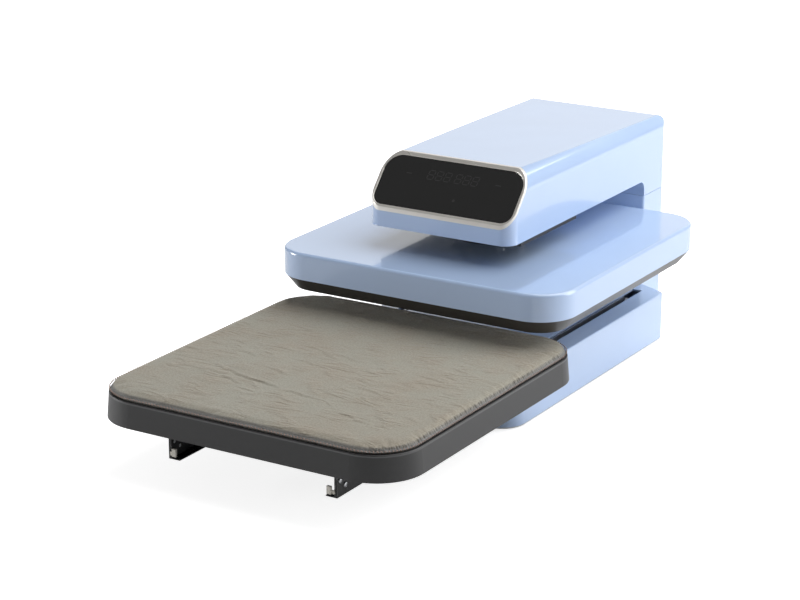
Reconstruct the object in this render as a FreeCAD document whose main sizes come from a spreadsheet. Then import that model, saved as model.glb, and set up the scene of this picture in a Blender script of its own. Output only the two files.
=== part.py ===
"""Automatic heat press with a drawer-type lower plate, as separate named pieces.

Frame: +Z up, +X to the right, the display and the drawer face -Y.  Millimetres.  The rest pose has
the heated plate up and the drawer pulled out.  The pieces are worked out from the middle of the
heated plate.  The files are written with the origin on the table, under the middle of the whole
machine, so each piece is moved back by the same distance.
"""
import FreeCAD
import Part
import Sketcher
import math
import os
import re

# Driving dimensions: name, value, what it is.
SIZES = [
    ("cover_width", 400, "width of the cover over the heated plate"),
    ("cover_depth", 404, "depth of that cover"),
    ("cover_corner", 49, "plan radius of its corners"),
    ("rim_height", 17.5, "height of the dark rim below the cover"),
    ("cover_height", 33.5, "height of the cover"),
    ("cover_wall", 2.5, "wall of the cover"),
    ("cover_edge", 4, "rounding of its top edge"),
    ("platen_proud", 1, "how far the pressing face stands below the rim"),
    ("rim_inset", 14, "how far the rim slopes inwards"),
    ("rim_wall", 3, "least wall of the rim"),
    ("press_travel", 16.7, "travel of the heated plate down to the pad"),
    ("platen_thickness", 12, "thickness of the heated plate"),
    ("platen_edge", 1, "rounding of the pressing face's edge"),
    ("element_radius", 3.5, "radius of the tubular heater"),
    ("element_inset", 40, "distance of the heater's loop from the insulation board's edge"),
    ("element_bend", 30, "bend radius of the heater's loop"),
    ("board_thickness", 11, "thickness of the insulation board"),
    ("board_margin", 40, "distance of the insulation board from the cover's sides"),
    ("plate_thickness", 5, "thickness of the steel pressure plate"),
    ("plate_margin", 10, "how far the pressure plate stands back from that board"),
    ("standoff_inset", 25, "distance of the standoffs from the heater's loop"),
    ("standoff_radius", 7, "radius of those standoffs"),
    ("spacer_spread", 32, "distance of the head's spacers from the middle"),
    ("spacer_radius", 7, "radius of the head's spacers"),
    ("bolt_radius", 3, "radius of the head bolts"),
    ("flange_margin", 6, "how far the flange reaches past the guide rods"),
    ("bolt_margin", 2, "least distance of the bolt heads from the flange's edge"),
    ("flange_thickness", 6, "thickness of that flange"),
    ("flange_chamfer", 1.5, "chamfer of the flange's upper edge"),
    ("ram_radius", 18, "outer radius of the ram tube"),
    ("ram_clearance", 3, "clearance of the ram tube's bore round the lead screw"),
    ("ram_chamfer", 1, "chamfer of the ram tube's upper edge"),
    ("ram_length", 46, "length of the ram tube"),
    ("nut_radius", 15, "outer radius of the ram nut"),
    ("nut_height", 14, "height of the ram nut"),
    ("screw_radius", 6, "radius of the lead screw"),
    ("screw_tip_gap", 4, "clearance under the lead screw"),
    ("rod_radius", 7, "radius of the guide rods"),
    ("rod_spread", 40, "distance of the guide rods from the middle"),
    ("rod_past", 2, "how far the guide rods stay past their bushes when pressed down"),
    ("bush_wall", 3, "wall of the guide bushes"),
    ("bush_length", 12, "length of the bushes beyond the frame's sheet"),
    ("bush_drop", 4, "how far the bushes hang below the frame"),
    ("bush_collar", 3, "width and thickness of the bushes' collars"),
    ("running_gap", 0.05, "radial clearance of running fits"),
    ("seat_gap", 0.3, "clearance between pieces that sit close"),
    ("base_width", 287, "width of the base housing"),
    ("base_step", 1, "how far the base's front stands back from the cover's"),
    ("column_gap", 27.5, "distance of the column from the cover"),
    ("base_low", 5, "height of the housings' lower edges"),
    ("base_top", 66.5, "height of the base's top face"),
    ("base_corner_front", 32, "plan radius of the base's front corners"),
    ("shoulder_depth", 21.5, "depth over which the base's sides turn in to the column"),
    ("shoulder_corner", 7, "plan radius of that turn"),
    ("base_wall", 2.5, "wall of the base and column housings"),
    ("base_edge", 1.5, "rounding of the base's top edge"),
    ("floor_thickness", 2, "thickness of the steel floor plate"),
    ("floor_inset", 1.2, "how far the floor plate stands back"),
    ("foot_radius", 11, "radius of the rubber feet"),
    ("foot_recess", 1.6, "depth of the recess for a foot's screw"),
    ("foot_screw_recess", 0.4, "how far the screw's head stays inside that recess"),
    ("foot_inset_front", 36, "distance of the front feet from the base's front"),
    ("foot_inset_rear", 28, "distance of the rear feet from the column's back"),
    ("foot_inset_side", 33.5, "distance of the feet from the base's sides"),
    ("foot_inset_column", 21, "distance of the rear feet from the column's sides"),
    ("slot_inner_gap", 6.6, "how far the top slots reach inwards from the slides' outer face"),
    ("slot_outer_gap", 3.1, "clearance of those slots beside the brackets' screws"),
    ("slot_end_gap", 4, "clearance of those slots behind the brackets, drawer shut"),
    ("notch_side_gap", 3.5, "clearance of the front notches beside the slides"),
    ("notch_gap", 4, "clearance of the front notches below the slides"),
    ("column_width", 202, "width of arm and column"),
    ("column_depth", 60.5, "depth of the column"),
    ("column_corner", 8, "plan radius of the column's rear corners"),
    ("column_edge", 3, "plan radius of its front corners"),
    ("neck_height", 21, "distance of the seam between column and arm below the arm"),
    ("seam_gap", 0.5, "open gap of that seam"),
    ("lip_height", 4, "height of the locating lip in the seam"),
    ("lip_wall", 2, "wall of that lip"),
    ("arm_front", 133, "distance of the arm's chin from the middle"),
    ("arm_gap", 29, "distance of the arm's underside above the cover"),
    ("arm_wall", 3, "wall of the arm housing"),
    ("brow_height", 1.1, "how far the arm's top line starts above the display face"),
    ("arm_fall", 8.1, "how far that line falls to the rear"),
    ("arm_edge", 26, "rounding along the arm's top"),
    ("arm_corner", 18, "rounding of the arm's front upright corners"),
    ("arm_throat", 12, "rounding where arm and column meet"),
    ("arm_rear_edge", 12, "rounding of the arm's top rear edge"),
    ("chin_height", 20, "height of the chin below the display frame"),
    ("face_run", 57, "how far the display face leans back"),
    ("face_rise", 64, "how high the display face rises over that run"),
    ("bezel_thickness", 3.5, "thickness of the display frame"),
    ("bezel_edge", 1.2, "rounding of its front edges"),
    ("bezel_side", 4.2, "width of the display frame beside the glass"),
    ("glass_low", 7.6, "lower edge of that opening, measured along the face"),
    ("bezel_high", 8.20298, "width of the display frame above the glass, along the face"),
    ("glass_corner_low", 14, "lower corner radius of the glass"),
    ("glass_corner_high", 22, "upper corner radius of the glass"),
    ("glass_recess", 0.5, "how far the glass lies below the frame's front"),
    ("led_side", 39, "distance of the digit module from the arm's sides"),
    ("window_corner", 1, "corner radius of the window behind the display"),
    ("led_depth", 5, "how far the digit module stands behind the arm's wall"),
    ("led_height", 38, "height of the digit module along the face"),
    ("led_top", 9.5, "distance of the digit module below the glass's upper edge"),
    ("board_side_margin", 18, "how far the display's circuit board reaches past the digit module"),
    ("board_corner", 3, "corner radius of the control board"),
    ("board_low_margin", 16, "how far it reaches below the module"),
    ("board_high_margin", 4, "how far it reaches above the module"),
    ("circuit_sheet", 1.6, "thickness of the circuit boards"),
    ("pan_depth", 5.5, "height of the dark pan under the arm"),
    ("pan_front", 117, "distance of the pan's front edge from the middle"),
    ("pan_rear", 39.5, "distance of its rear edge behind the middle"),
    ("pan_inset", 2, "how far the pan stands in from the arm's sides"),
    ("pan_chamfer", 14, "cut of the pan's front corners"),
    ("hatch_side", 13, "distance of the arm's lower opening from its sides"),
    ("hatch_front", 105, "front end of that opening"),
    ("hatch_rear", 30, "rear end of that opening"),
    ("hatch_corner", 6, "corner radius of that hatch"),
    ("travel_rest", 4, "how much less than their length the slides travel"),
    ("tray_width", 407, "width of the tray at its lower edge"),
    ("tray_depth", 434, "depth of the tray at its lower edge"),
    ("tray_column_gap", 12, "distance of the tray from the column, drawer shut"),
    ("tray_gap", 2, "clearance of the tray over the base"),
    ("tray_height", 30.5, "height of the tray"),
    ("tray_lean", 2.5, "how far its wall leans inwards"),
    ("tray_corner", 58, "plan radius of its corners"),
    ("tray_wall", 3.5, "wall of the tray at its lip"),
    ("tray_hollow", 8.5, "height of the tray's inner floor above its lower edge"),
    ("tray_sheet", 3, "thickness of that floor"),
    ("tray_edge", 1.2, "rounding of the tray's lip"),
    ("pad_rise", 10, "how far the pad stands above the tray"),
    ("pad_gap", 1.5, "gap between pad and tray lip"),
    ("pad_crown", 10, "rounding of the pad's top edge"),
    ("cloth_thickness", 1.7, "thickness of the fabric cover"),
    ("pad_plate_height", 14, "height of the aluminium plate in the pad"),
    ("pad_plate_sheet", 2, "sheet thickness of that plate"),
    ("slide_inset", 15, "distance of the slides from the base's front"),
    ("slide_tray_inset", 30.5, "least distance of the slides from the tray's front"),
    ("slide_short", 80.5, "how much shorter than the base the slides are"),
    ("slide_tray_short", 84, "how much shorter than the tray they are at least"),
    ("shelf_gap", 3.5, "clearance between the rail stands and the base's top"),
    ("slide_height", 27, "height of the slides"),
    ("rail_side", 33.9, "distance of the slides' outer face from the base's sides"),
    ("outer_web_gap", 1, "clearance of the outer member's web to the outer cage"),
    ("slide_sheet", 1.2, "sheet thickness of the slide members"),
    ("outer_ball", 1.55, "radius of the balls in the outer member"),
    ("inner_ball", 1.15, "radius of the balls on the inner member"),
    ("race_depth", 0.35, "depth of the grooves that the balls run in"),
    ("tip_gap", 0.8, "clearance of the flanges' tips to the inner member's web"),
    ("tip_edge", 0.4, "sheet left beside a groove at a flange's tip"),
    ("inner_web_gap", 0.6, "clearance of the middle member's web to the inner cage"),
    ("flange_edge", 0.2, "sheet left beside a groove on the inner member"),
    ("outer_cage_gap", 0.8, "clearance of the outer cage's web to the middle member"),
    ("inner_cage_gap", 0.8, "clearance of the inner cage's web to the inner member"),
    ("cage_sheet", 0.8, "sheet thickness of the ball cages"),
    ("cage_length", 150, "length of a ball cage"),
    ("bracket_sheet", 2.5, "sheet thickness of the rail brackets"),
    ("bracket_past", 32, "how much longer than the slides the rail brackets are"),
    ("bracket_flange", 24, "width of the brackets' flange under the tray"),
    ("rail_screw_radius", 2, "radius of the screws that hold the slides to the brackets"),
    ("rail_screw_head", 3.2, "radius of their heads"),
    ("rail_screw_rise", 1.8, "height of their heads"),
    ("screw_front", 6, "distance of the first of them from the slide's front end"),
    ("screw_step", 10, "distance of the second one behind it"),
    ("screw_rear", 20, "distance of the last one from the slide's rear end"),
    ("screw_high", 8, "distance of the first one below the slide's top"),
    ("screw_low", 11, "height of the second one above the slide's lower face"),
    ("bumper_low", 4.5, "height of the bumpers' lower edge above the slide's lower face"),
    ("bumper_height", 9, "height of the bumpers at the slides' front"),
    ("bumper_depth", 3, "thickness of the bumpers"),
    ("bumper_width", 5.2, "width of the bumpers"),
    ("bumper_reach", 3.5, "distance of the bumpers from the slide's inner face"),
    ("bumper_ear", 1, "thickness of the ear that holds a bumper to the slide's web"),
    ("stand_sheet", 2, "sheet thickness of the rail stands"),
    ("stand_gap", 1.5, "clearance between a slide's top and the stand's shelf over it"),
    ("stand_lip_gap", 1, "clearance between the stand's upturned lip and the bracket"),
    ("lip_past", 1, "how far their lip reaches past the slides"),
    ("stand_inset", 0.5, "clearance of the rail stands behind the base's front wall"),
    ("stand_past", 14, "how far the rail stands reach past the slides"),
    ("stand_foot", 17, "width of the rail stands' foot"),
    ("frame_sheet", 3, "sheet thickness of the inner steel frame"),
    ("frame_side_gap", 18, "clearance of the arm's steel frame to the arm's walls"),
    ("frame_front", 95, "distance of that frame's front end from the middle"),
    ("frame_height", 35, "height of its side flanges"),
    ("post_side_gap", 10, "how far the column's post stands in from that frame's sides"),
    ("bridge_gap", 2, "clearance of the bridge over the ram nut"),
    ("bridge_sheet", 4, "sheet thickness of that bridge"),
    ("bridge_leg_gap", 6.95, "clearance of the bridge's legs beside the guide bushes"),
    ("gearbox_half_width", 35, "half width of the gearbox"),
    ("gearbox_front", 30, "distance of the gearbox's front from the middle"),
    ("gearbox_rear", 40, "distance of its rear"),
    ("gearbox_corner", 5, "corner radius of the gearbox"),
    ("motor_length", 82, "length of the motor"),
    ("motor_boss", 6, "length of the motor's rear boss"),
    ("screw_clearance", 4, "how far the lead screw ends under the gearbox's top"),
    ("board_stand_gap", 14, "clearance of the power board beside the rail stands"),
    ("power_board_front", 116, "distance of its front edge from the middle"),
    ("power_board_rear", 14, "distance of its rear edge from the middle"),
    ("power_board_lift", 8, "height of the posts that carry it"),
    ("post_radius", 3, "radius of those posts"),
    ("choke_width", 44, "width of the choke on the power board"),
    ("choke_depth", 38, "depth of the choke"),
    ("choke_height", 32, "height of the choke"),
    ("capacitor_radius", 9, "radius of the capacitor on the power board"),
    ("capacitor_height", 26, "height of the capacitor"),
    ("relay_width", 46, "width of the relay's case"),
    ("relay_depth", 45, "depth of the relay"),
    ("relay_front", 30, "distance of the relay's front behind the middle"),
    ("relay_height", 26, "height of the relay"),
    ("relay_foot", 4, "thickness of the relay's metal foot"),
    ("relay_ear", 6, "how far that foot reaches past the case"),
    ("socket_spread", 45, "distance of power inlet and switch from the middle"),
    ("socket_corner", 1.2, "corner radius of the sockets' openings"),
    ("socket_height", 40, "height of power inlet and switch"),
    ("inlet_half_width", 13.5, "half width of the power inlet's body"),
    ("inlet_half_height", 10, "half height of that body"),
    ("inlet_depth", 24, "depth of that body behind its flange"),
    ("inlet_hollow", 17, "depth of the mouth for the plug"),
    ("switch_half_width", 13.2, "half width of the switch's body"),
    ("switch_half_height", 11.6, "half height of that body"),
    ("switch_depth", 18, "depth of that body behind its flange"),
    ("switch_hollow", 11, "depth of the hollow for the rocker"),
    ("socket_wall", 1.6, "wall of the inlet's and the switch's body"),
    ("socket_lip", 2, "thickness of their flanges"),
    ("socket_rim", 3, "how far their flanges reach past the body"),
    ("rocker_gap", 1.8, "clearance above and below the rocker"),
    ("rocker_proud", 2.6, "how far the rocker's middle stands out of the column's back"),
    ("rocker_root", 1, "how far the rocker's ends reach past the socket's face"),
    ("rocker_deep", 5, "depth of the rocker's back behind that face"),
    ("rocker_tilt", 20, "angle that the rocker tilts by, in degrees"),
    ("rocker_pin", 1.2, "radius of the pins that the rocker turns on"),
    ("pin_spread", 7, "distance of the inlet's outer pins from its middle"),
    ("pin_half_width", 1, "half width of the inlet's pins"),
    ("pin_half_height", 2, "half height of the inlet's pins"),
    ("pin_recess", 3, "how far the pins stay inside the column's back"),
    ("vent_count", 7, "number of vent slots in the column's back"),
    ("vent_pitch", 9, "spacing of the vent slots"),
    ("vent_margin", 25, "distance of the vent slots below the column's lip"),
]
# Sizes and places that follow from those above: name, formula, what it is.
DERIVED = [
    ("base_front", "cover_depth / 2 - base_step", "distance of the base's front face from the middle"),
    ("base_rear", "cover_depth / 2 + column_gap", "distance of the column's front face from the middle"),
    ("shoulder_start", "base_rear - shoulder_depth", "distance at which the base's sides turn in"),
    ("flange_past_balls", "outer_ball + running_gap + tip_edge", "reach of flanges past the balls' line"),
    ("ball_line", "slide_sheet + tip_gap + flange_past_balls", "balls' line from the slide's inner face"),
    ("inner_flange", "ball_line + inner_ball + running_gap + flange_edge", "inner member's flange width"),
    ("inner_cage_web", "inner_ball + running_gap + flange_edge + inner_cage_gap + cage_sheet",
     "inner cage's web from the balls' line"),
    ("middle_web", "inner_cage_web + inner_web_gap + slide_sheet", "middle member's web from that line"),
    ("outer_cage_web", "middle_web + outer_cage_gap + cage_sheet", "outer cage's web from that line"),
    ("slide_depth", "ball_line + outer_cage_web + outer_web_gap + slide_sheet", "thickness of a whole slide"),
    ("slide_face", "base_width / 2 - rail_side", "distance of the slides' outer face from the middle"),
    ("tray_front", "tray_depth - base_rear + tray_column_gap", "front edge of the tray, drawer shut"),
    ("slide_front", "min(base_front - slide_inset; tray_front - slide_tray_inset)",
     "distance of the slides' front end from the middle, drawer shut"),
    ("slide_length", "min(base_front + base_rear - slide_short; tray_depth - slide_tray_short)",
     "length of a telescopic slide"),
    ("drawer_travel", "slide_length - travel_rest", "travel of the drawer"),
    ("bracket_length", "slide_length + bracket_past", "length of a rail bracket"),
    ("slide_low", "base_top - base_wall - shelf_gap - stand_sheet - stand_gap - slide_height",
     "height of the slides' lower face"),
    ("stand_front", "base_front - base_wall - stand_inset", "front end of the rail stands"),
    ("stand_rear", "slide_length - slide_front + stand_past", "rear end of the rail stands"),
    ("stand_lip_rear", "slide_length - slide_front + lip_past", "rear end of their lip"),
    ("slot_inner", "slide_face - slot_inner_gap", "distance of the top slots' inner sides from the middle"),
    ("slot_width", "slot_inner_gap + bracket_sheet + rail_screw_rise + slot_outer_gap",
     "width of the slots in the base's top"),
    ("slot_end", "bracket_length - slide_front + slot_end_gap", "rear end of those slots"),
    ("notch_inner", "slide_face - slide_depth - notch_side_gap", "inner sides of the front notches"),
    ("notch_low", "slide_low - notch_gap", "height of the front notches' lower edges"),
    ("foot_front", "base_front - foot_inset_front", "distance of the front feet from the middle"),
    ("foot_rear", "base_rear + column_depth - foot_inset_rear", "distance of the rear feet from the middle"),
    ("foot_spread_front", "base_width / 2 - foot_inset_side", "half spacing of the front feet"),
    ("foot_spread_rear", "column_width / 2 - foot_inset_column", "half spacing of the rear feet"),
    ("power_board_half", "slide_face - slide_depth - stand_foot - board_stand_gap",
     "half width of the power board"),
    ("tray_rear", "drawer_travel - base_rear + tray_column_gap", "rear edge of the tray, pulled out"),
    ("tray_low", "base_top + tray_gap", "height of the tray's lower edge"),
    ("tray_floor", "tray_low + tray_hollow", "height of the tray's inner floor"),
    ("tray_top", "tray_low + tray_height", "height of the tray's lip"),
    ("pad_plate_top", "tray_floor + pad_plate_height", "height of the aluminium plate's top"),
    ("pad_top", "tray_top + pad_rise", "height of the pad's top"),
    ("platen_low", "pad_top + press_travel + seat_gap", "height of the pressing face"),
    ("rim_low", "platen_low + platen_proud", "height of the rim's lower edge"),
    ("cover_low", "rim_low + rim_height", "height of the cover's lower edge"),
    ("cover_top", "cover_low + cover_height", "height of the cover's top face"),
    ("board_half_side", "min(cover_width; cover_depth) / 2 - board_margin",
     "half side of the insulation board"),
    ("plate_half_side", "board_half_side - plate_margin", "half side of the pressure plate"),
    ("element_spread", "board_half_side - element_inset", "half side of the heater's loop"),
    ("standoff_spread", "element_spread - standoff_inset", "distance of the standoffs from the middle"),
    ("flange_radius", "max(rod_spread + rod_radius + flange_margin;"
     " spacer_spread * sqrt(2) + bolt_radius * 1.7 + bolt_margin)", "radius of the flange on the cover"),
    ("ram_bore", "screw_radius + ram_clearance", "inner radius of the ram tube"),
    ("ram_top", "cover_top + flange_thickness + ram_length", "height of the ram tube's upper end"),
    ("arm_low", "cover_top + arm_gap", "height of the arm's underside"),
    ("seam_height", "arm_low - neck_height", "height of the seam between column and arm"),
    ("chin_top", "arm_low + chin_height", "height where the display frame begins"),
    ("arm_front_top", "chin_top + face_rise + brow_height", "height of the arm's top line above the chin"),
    ("arm_rear_top", "arm_front_top - arm_fall", "height of the arm's top at the rear"),
    ("glass_half_width", "column_width / 2 - bezel_side", "half width of the opening for the glass"),
    ("glass_high", "sqrt(face_run ^ 2 + face_rise ^ 2) - bezel_high", "upper edge of that opening"),
    ("led_half_width", "column_width / 2 - led_side", "half width of the digit module"),
    ("led_high", "glass_high - led_top", "upper edge of the digit module, along the face"),
    ("led_low", "led_high - led_height", "lower edge of the digit module, along the face"),
    ("hatch_half_width", "column_width / 2 - hatch_side", "half width of the opening under the arm"),
    ("frame_half_width", "column_width / 2 - arm_wall - frame_side_gap", "half width of the arm's frame"),
    ("post_half_width", "frame_half_width - post_side_gap", "half width of the steel post in the column"),
    ("bridge_half_width",
     "rod_spread + rod_radius + running_gap + bush_wall + bush_collar + bridge_leg_gap + frame_sheet",
     "half width of the bridge that carries the gearbox"),
    ("bush_top", "arm_low + arm_wall + seat_gap - bush_drop + frame_sheet + bush_length",
     "height of the guide bushes' upper ends"),
    ("rod_top", "bush_top + press_travel + rod_past", "height of the rods' upper ends"),
    ("bridge_top", "ram_top + nut_height + bridge_gap + bridge_sheet", "height of that bridge"),
    ("gearbox_height", "arm_rear_top - arm_wall - bridge_top", "height of the gearbox"),
    ("motor_radius", "gearbox_height / 2", "radius of the motor"),
    ("rocker_half_height", "switch_half_height - socket_wall - rocker_gap", "half height of the rocker"),
    ("vent_low", "seam_height - 2 * lip_height - vent_count * vent_pitch - vent_margin",
     "height of the lowest vent slot"),
]
NAMES = {name for name, value, note in SIZES + DERIVED}
SIDES = (("left", -1), ("right", 1))
VECTOR = FreeCAD.Vector

doc = FreeCAD.newDocument("HeatPress")
sheet = doc.addObject("Spreadsheet::Sheet", "Sizes")
for row, (name, value, note) in enumerate(SIZES + DERIVED, 1):
    sheet.set(f"A{row}", note)
    sheet.set(f"B{row}", f"={value}")
    sheet.setAlias(f"B{row}", name)
reading = doc.addObject("Spreadsheet::Sheet", "Reading")
doc.recompute()

NODES = []


def bound(text):
    """Expression text with each size name turned into its sheet cell."""
    return re.sub(r"[a-z][a-z_]*", lambda word: f"Sizes.{word.group()}" if word.group() in NAMES
                  else word.group(), str(text))


def number(text):
    """Present value of an expression, read through a spare cell."""
    reading.set("A1", f"={bound(text)}")
    reading.recompute()
    return float(reading.get("A1"))


def keep(piece, label):
    """Give a finished piece the name of its node."""
    piece.Label = label
    NODES.append(piece)
    return piece


def check_state(item):
    """Stop at an object that did not build."""
    if "Invalid" in item.State or "Error" in item.State:
        raise RuntimeError(f"{item.Label} did not build")


# Outlines: a list of corners, a disc of three values, or a rounded rectangle of six.

def rect(u_low, u_high, v_low, v_high):
    return [(u_low, v_low), (u_high, v_low), (u_high, v_high), (u_low, v_high)]


def disc(u, v, radius):
    return (u, v, radius)


def rounded(u_low, u_high, v_low, v_high, radius_low, radius_high=None):
    """Rectangle with round corners; the second radius is for the corners at high v."""
    return (u_low, u_high, v_low, v_high, radius_low, radius_high or radius_low)


def square(half):
    """Four bounds of a square about the origin."""
    return (f"-({half})", half, f"-({half})", half)


def tie(sketch, kind, name, geometry, point, text):
    """Add a dimension measured from the sketch's origin, or a radius, and bind it to the sheet."""
    if kind == "Radius":
        item = Sketcher.Constraint(kind, geometry, number(text))
    else:
        item = Sketcher.Constraint(kind, -1, 1, geometry, point, number(text))
    index = sketch.addConstraint(item)
    sketch.renameConstraint(index, name)
    sketch.setExpression(f"Constraints.{name}", bound(text))


def draw_polygon(sketch, points, tag):
    start = sketch.GeometryCount
    corners = [VECTOR(number(u), number(v), 0) for u, v in points]
    count = len(points)
    for i in range(count):
        sketch.addGeometry(Part.LineSegment(corners[i], corners[(i + 1) % count]), False)
    for i in range(count):
        sketch.addConstraint(Sketcher.Constraint("Coincident", start + i, 2, start + (i + 1) % count, 1))
    for i, (u, v) in enumerate(points):
        tie(sketch, "DistanceX", f"{tag}_u{i}", start + i, 1, u)
        tie(sketch, "DistanceY", f"{tag}_v{i}", start + i, 1, v)


def draw_disc(sketch, u, v, radius, tag):
    start = sketch.GeometryCount
    circle = Part.Circle(VECTOR(number(u), number(v), 0), VECTOR(0, 0, 1), number(radius))
    sketch.addGeometry(circle, False)
    tie(sketch, "DistanceX", f"{tag}_u", start, 3, u)
    tie(sketch, "DistanceY", f"{tag}_v", start, 3, v)
    tie(sketch, "Radius", f"{tag}_r", start, 3, radius)


def draw_rounded(sketch, bounds, tag):
    """Four corner arcs and the four sides between them, joined by tangency."""
    u_low, u_high, v_low, v_high, radius_low, radius_high = bounds
    start = sketch.GeometryCount
    corners = [(u_high, v_low, "-", "+", radius_low), (u_high, v_high, "-", "-", radius_high),
               (u_low, v_high, "+", "-", radius_high), (u_low, v_low, "+", "+", radius_low)]
    centres = []
    ends = []
    for i, (u, v, sign_u, sign_v, radius) in enumerate(corners):
        centre = (f"({u}) {sign_u} ({radius})", f"({v}) {sign_v} ({radius})")
        first = math.radians(90 * i - 90)
        circle = Part.Circle(VECTOR(number(centre[0]), number(centre[1]), 0), VECTOR(0, 0, 1), number(radius))
        arc = Part.ArcOfCircle(circle, first, first + math.pi / 2)
        sketch.addGeometry(arc, False)
        centres.append(centre)
        ends.append((arc.StartPoint, arc.EndPoint))
    for i in range(4):
        sketch.addGeometry(Part.LineSegment(ends[i][1], ends[(i + 1) % 4][0]), False)
    for i in range(4):
        line = start + 4 + i
        sketch.addConstraint(Sketcher.Constraint("Tangent", start + i, 2, line, 1))
        sketch.addConstraint(Sketcher.Constraint("Tangent", line, 2, start + (i + 1) % 4, 1))
    for i, (centre, corner) in enumerate(zip(centres, corners)):
        tie(sketch, "DistanceX", f"{tag}_u{i}", start + i, 3, centre[0])
        tie(sketch, "DistanceY", f"{tag}_v{i}", start + i, 3, centre[1])
        tie(sketch, "Radius", f"{tag}_r{i}", start + i, 3, corner[4])


PLANES = {"X": "YZ_Plane", "Y": "XZ_Plane", "Z": "XY_Plane"}


def new_sketch(body, axis, outlines):
    """Sketch on an origin plane of a body; u and v are the other two axes in X, Y, Z order."""
    sketch = body.newObject("Sketcher::SketchObject", "outline")
    plane = [item for item in body.Origin.OriginFeatures if item.Role == PLANES[axis]][0]
    sketch.AttachmentSupport = [(plane, "")]
    sketch.MapMode = "FlatFace"
    for index, outline in enumerate(outlines):
        if isinstance(outline, list):
            draw_polygon(sketch, outline, f"line{index}")
        elif len(outline) == 3:
            draw_disc(sketch, *outline, f"disc{index}")
        else:
            draw_rounded(sketch, outline, f"arc{index}")
    return sketch


def extrude(body, sketch, length, cut, taper=None):
    """Pad or pocket a sketch along its normal, and see that a pocket removes something."""
    before = body.Tip.Shape.Volume if cut else 0
    feature = body.newObject("PartDesign::Pocket" if cut else "PartDesign::Pad", "cut" if cut else "form")
    feature.Profile = sketch
    feature.Reversed = cut
    feature.setExpression("Length", bound(length))
    if taper:
        feature.setExpression("TaperAngle", bound(taper))
    doc.recompute()
    check_state(feature)
    if cut and feature.Shape.Volume >= before:
        raise RuntimeError(f"{body.Name}: a cut removed nothing")
    return feature


def prism(body, axis, low, high, *outlines, cut=False, taper=None):
    """Add or remove outlines between two levels along an axis."""
    sketch = new_sketch(body, axis, outlines)
    level = f"-({high})" if axis == "Y" else low
    sketch.setExpression("AttachmentOffset.Base.z", bound(level))
    return extrude(body, sketch, f"({high}) - ({low})", cut, taper)


def round_edges(body, radius, pick, kind="Fillet"):
    """Fillet or chamfer the edges that a test picks."""
    base = body.Tip
    names = [f"Edge{i}" for i, edge in enumerate(base.Shape.Edges, 1) if pick(edge)]
    if not names:
        raise RuntimeError(f"{body.Name}: no edge to round")
    feature = body.newObject(f"PartDesign::{kind}", kind.lower())
    feature.Base = (base, names)
    feature.setExpression("Radius" if kind == "Fillet" else "Size", bound(radius))
    doc.recompute()
    check_state(feature)


def near(first, second, margin=0.02):
    return abs(first - second) < margin


def middle(edge):
    """Point half way along an edge."""
    return edge.valueAt((edge.FirstParameter + edge.LastParameter) / 2)


def along(axis, test):
    """Edges that are straight along an axis and whose middle passes a test."""
    def pick(edge):
        if not isinstance(edge.Curve, Part.Line):
            return False
        return abs(getattr(edge.Curve.Direction, axis)) > 0.999 and test(middle(edge))
    return pick


def at_level(height, least=0):
    """Edges that lie wholly at one height and are at least so long."""
    return lambda edge: (near(edge.BoundBox.ZMin, height) and near(edge.BoundBox.ZMax, height)
                         and edge.Length > least)


def new_body(label):
    return doc.addObject("PartDesign::Body", f"{label}_body")


def block(x, y, z):
    """Rectangular block between pairs of expressions."""
    box = doc.addObject("Part::Box", "block")
    for length, axis, (low, high) in zip(("Length", "Width", "Height"), "xyz", (x, y, z)):
        box.setExpression(length, bound(f"({high}) - ({low})"))
        box.setExpression(f"Placement.Base.{axis}", bound(low))
    return box


DIRECTIONS = {"X": VECTOR(1, 0, 0), "Y": VECTOR(0, 1, 0), "Z": VECTOR(0, 0, 1)}


def rod(axis, x, y, z, radius, length):
    """Cylinder from a point along an axis."""
    piece = doc.addObject("Part::Cylinder", "rod")
    piece.Placement = FreeCAD.Placement(VECTOR(), FreeCAD.Rotation(DIRECTIONS["Z"], DIRECTIONS[axis]))
    piece.setExpression("Radius", bound(radius))
    piece.setExpression("Height", bound(length))
    for name, text in zip("xyz", (x, y, z)):
        piece.setExpression(f"Placement.Base.{name}", bound(text))
    return piece


def fused(*pieces):
    """One solid from pieces that meet."""
    whole = doc.addObject("Part::MultiFuse", "fused")
    whole.Shapes = list(pieces)
    whole.Refine = True
    return whole


def grouped(*pieces):
    """Separate solids that share a node."""
    whole = doc.addObject("Part::Compound", "grouped")
    whole.Links = list(pieces)
    return whole


def without(base, *tools):
    """A piece with others cut out of it."""
    whole = doc.addObject("Part::Cut", "cut")
    whole.Base = base
    whole.Tool = tools[0] if len(tools) == 1 else grouped(*tools)
    whole.Refine = True
    return whole


def tube(axis, x, y, z, radius, bore, length):
    """Cylinder with a bore right through."""
    return without(rod(axis, x, y, z, radius, length), rod(axis, x, y, z, bore, length))


def span(side, inner, outer):
    """Range along X between two distances from the middle, on one side."""
    return (inner, outer) if side > 0 else (f"-({outer})", f"-({inner})")


def corners_of(spread):
    """The four places at equal distances from both middle planes."""
    return [(f"{i} * {spread}", f"{j} * {spread}") for i in (-1, 1) for j in (-1, 1)]


# The heating head.

PLATEN_TOP = "(platen_low + platen_thickness)"
BOARD_LOW = f"({PLATEN_TOP} + seat_gap)"
PLATE_LOW = f"({BOARD_LOW} + board_thickness)"
PLATE_TOP = f"({PLATE_LOW} + plate_thickness)"
COVER_INSIDE = "(cover_top - cover_wall)"
FLANGE_TOP = "(cover_top + flange_thickness)"


def head_outline(inset, corner="cover_corner"):
    """Rounded rectangle of the cover, moved in by an inset."""
    return rounded(f"-cover_width / 2 + {inset}", f"cover_width / 2 - {inset}",
                   f"-cover_depth / 2 + {inset}", f"cover_depth / 2 - {inset}", f"{corner} - {inset}")


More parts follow.
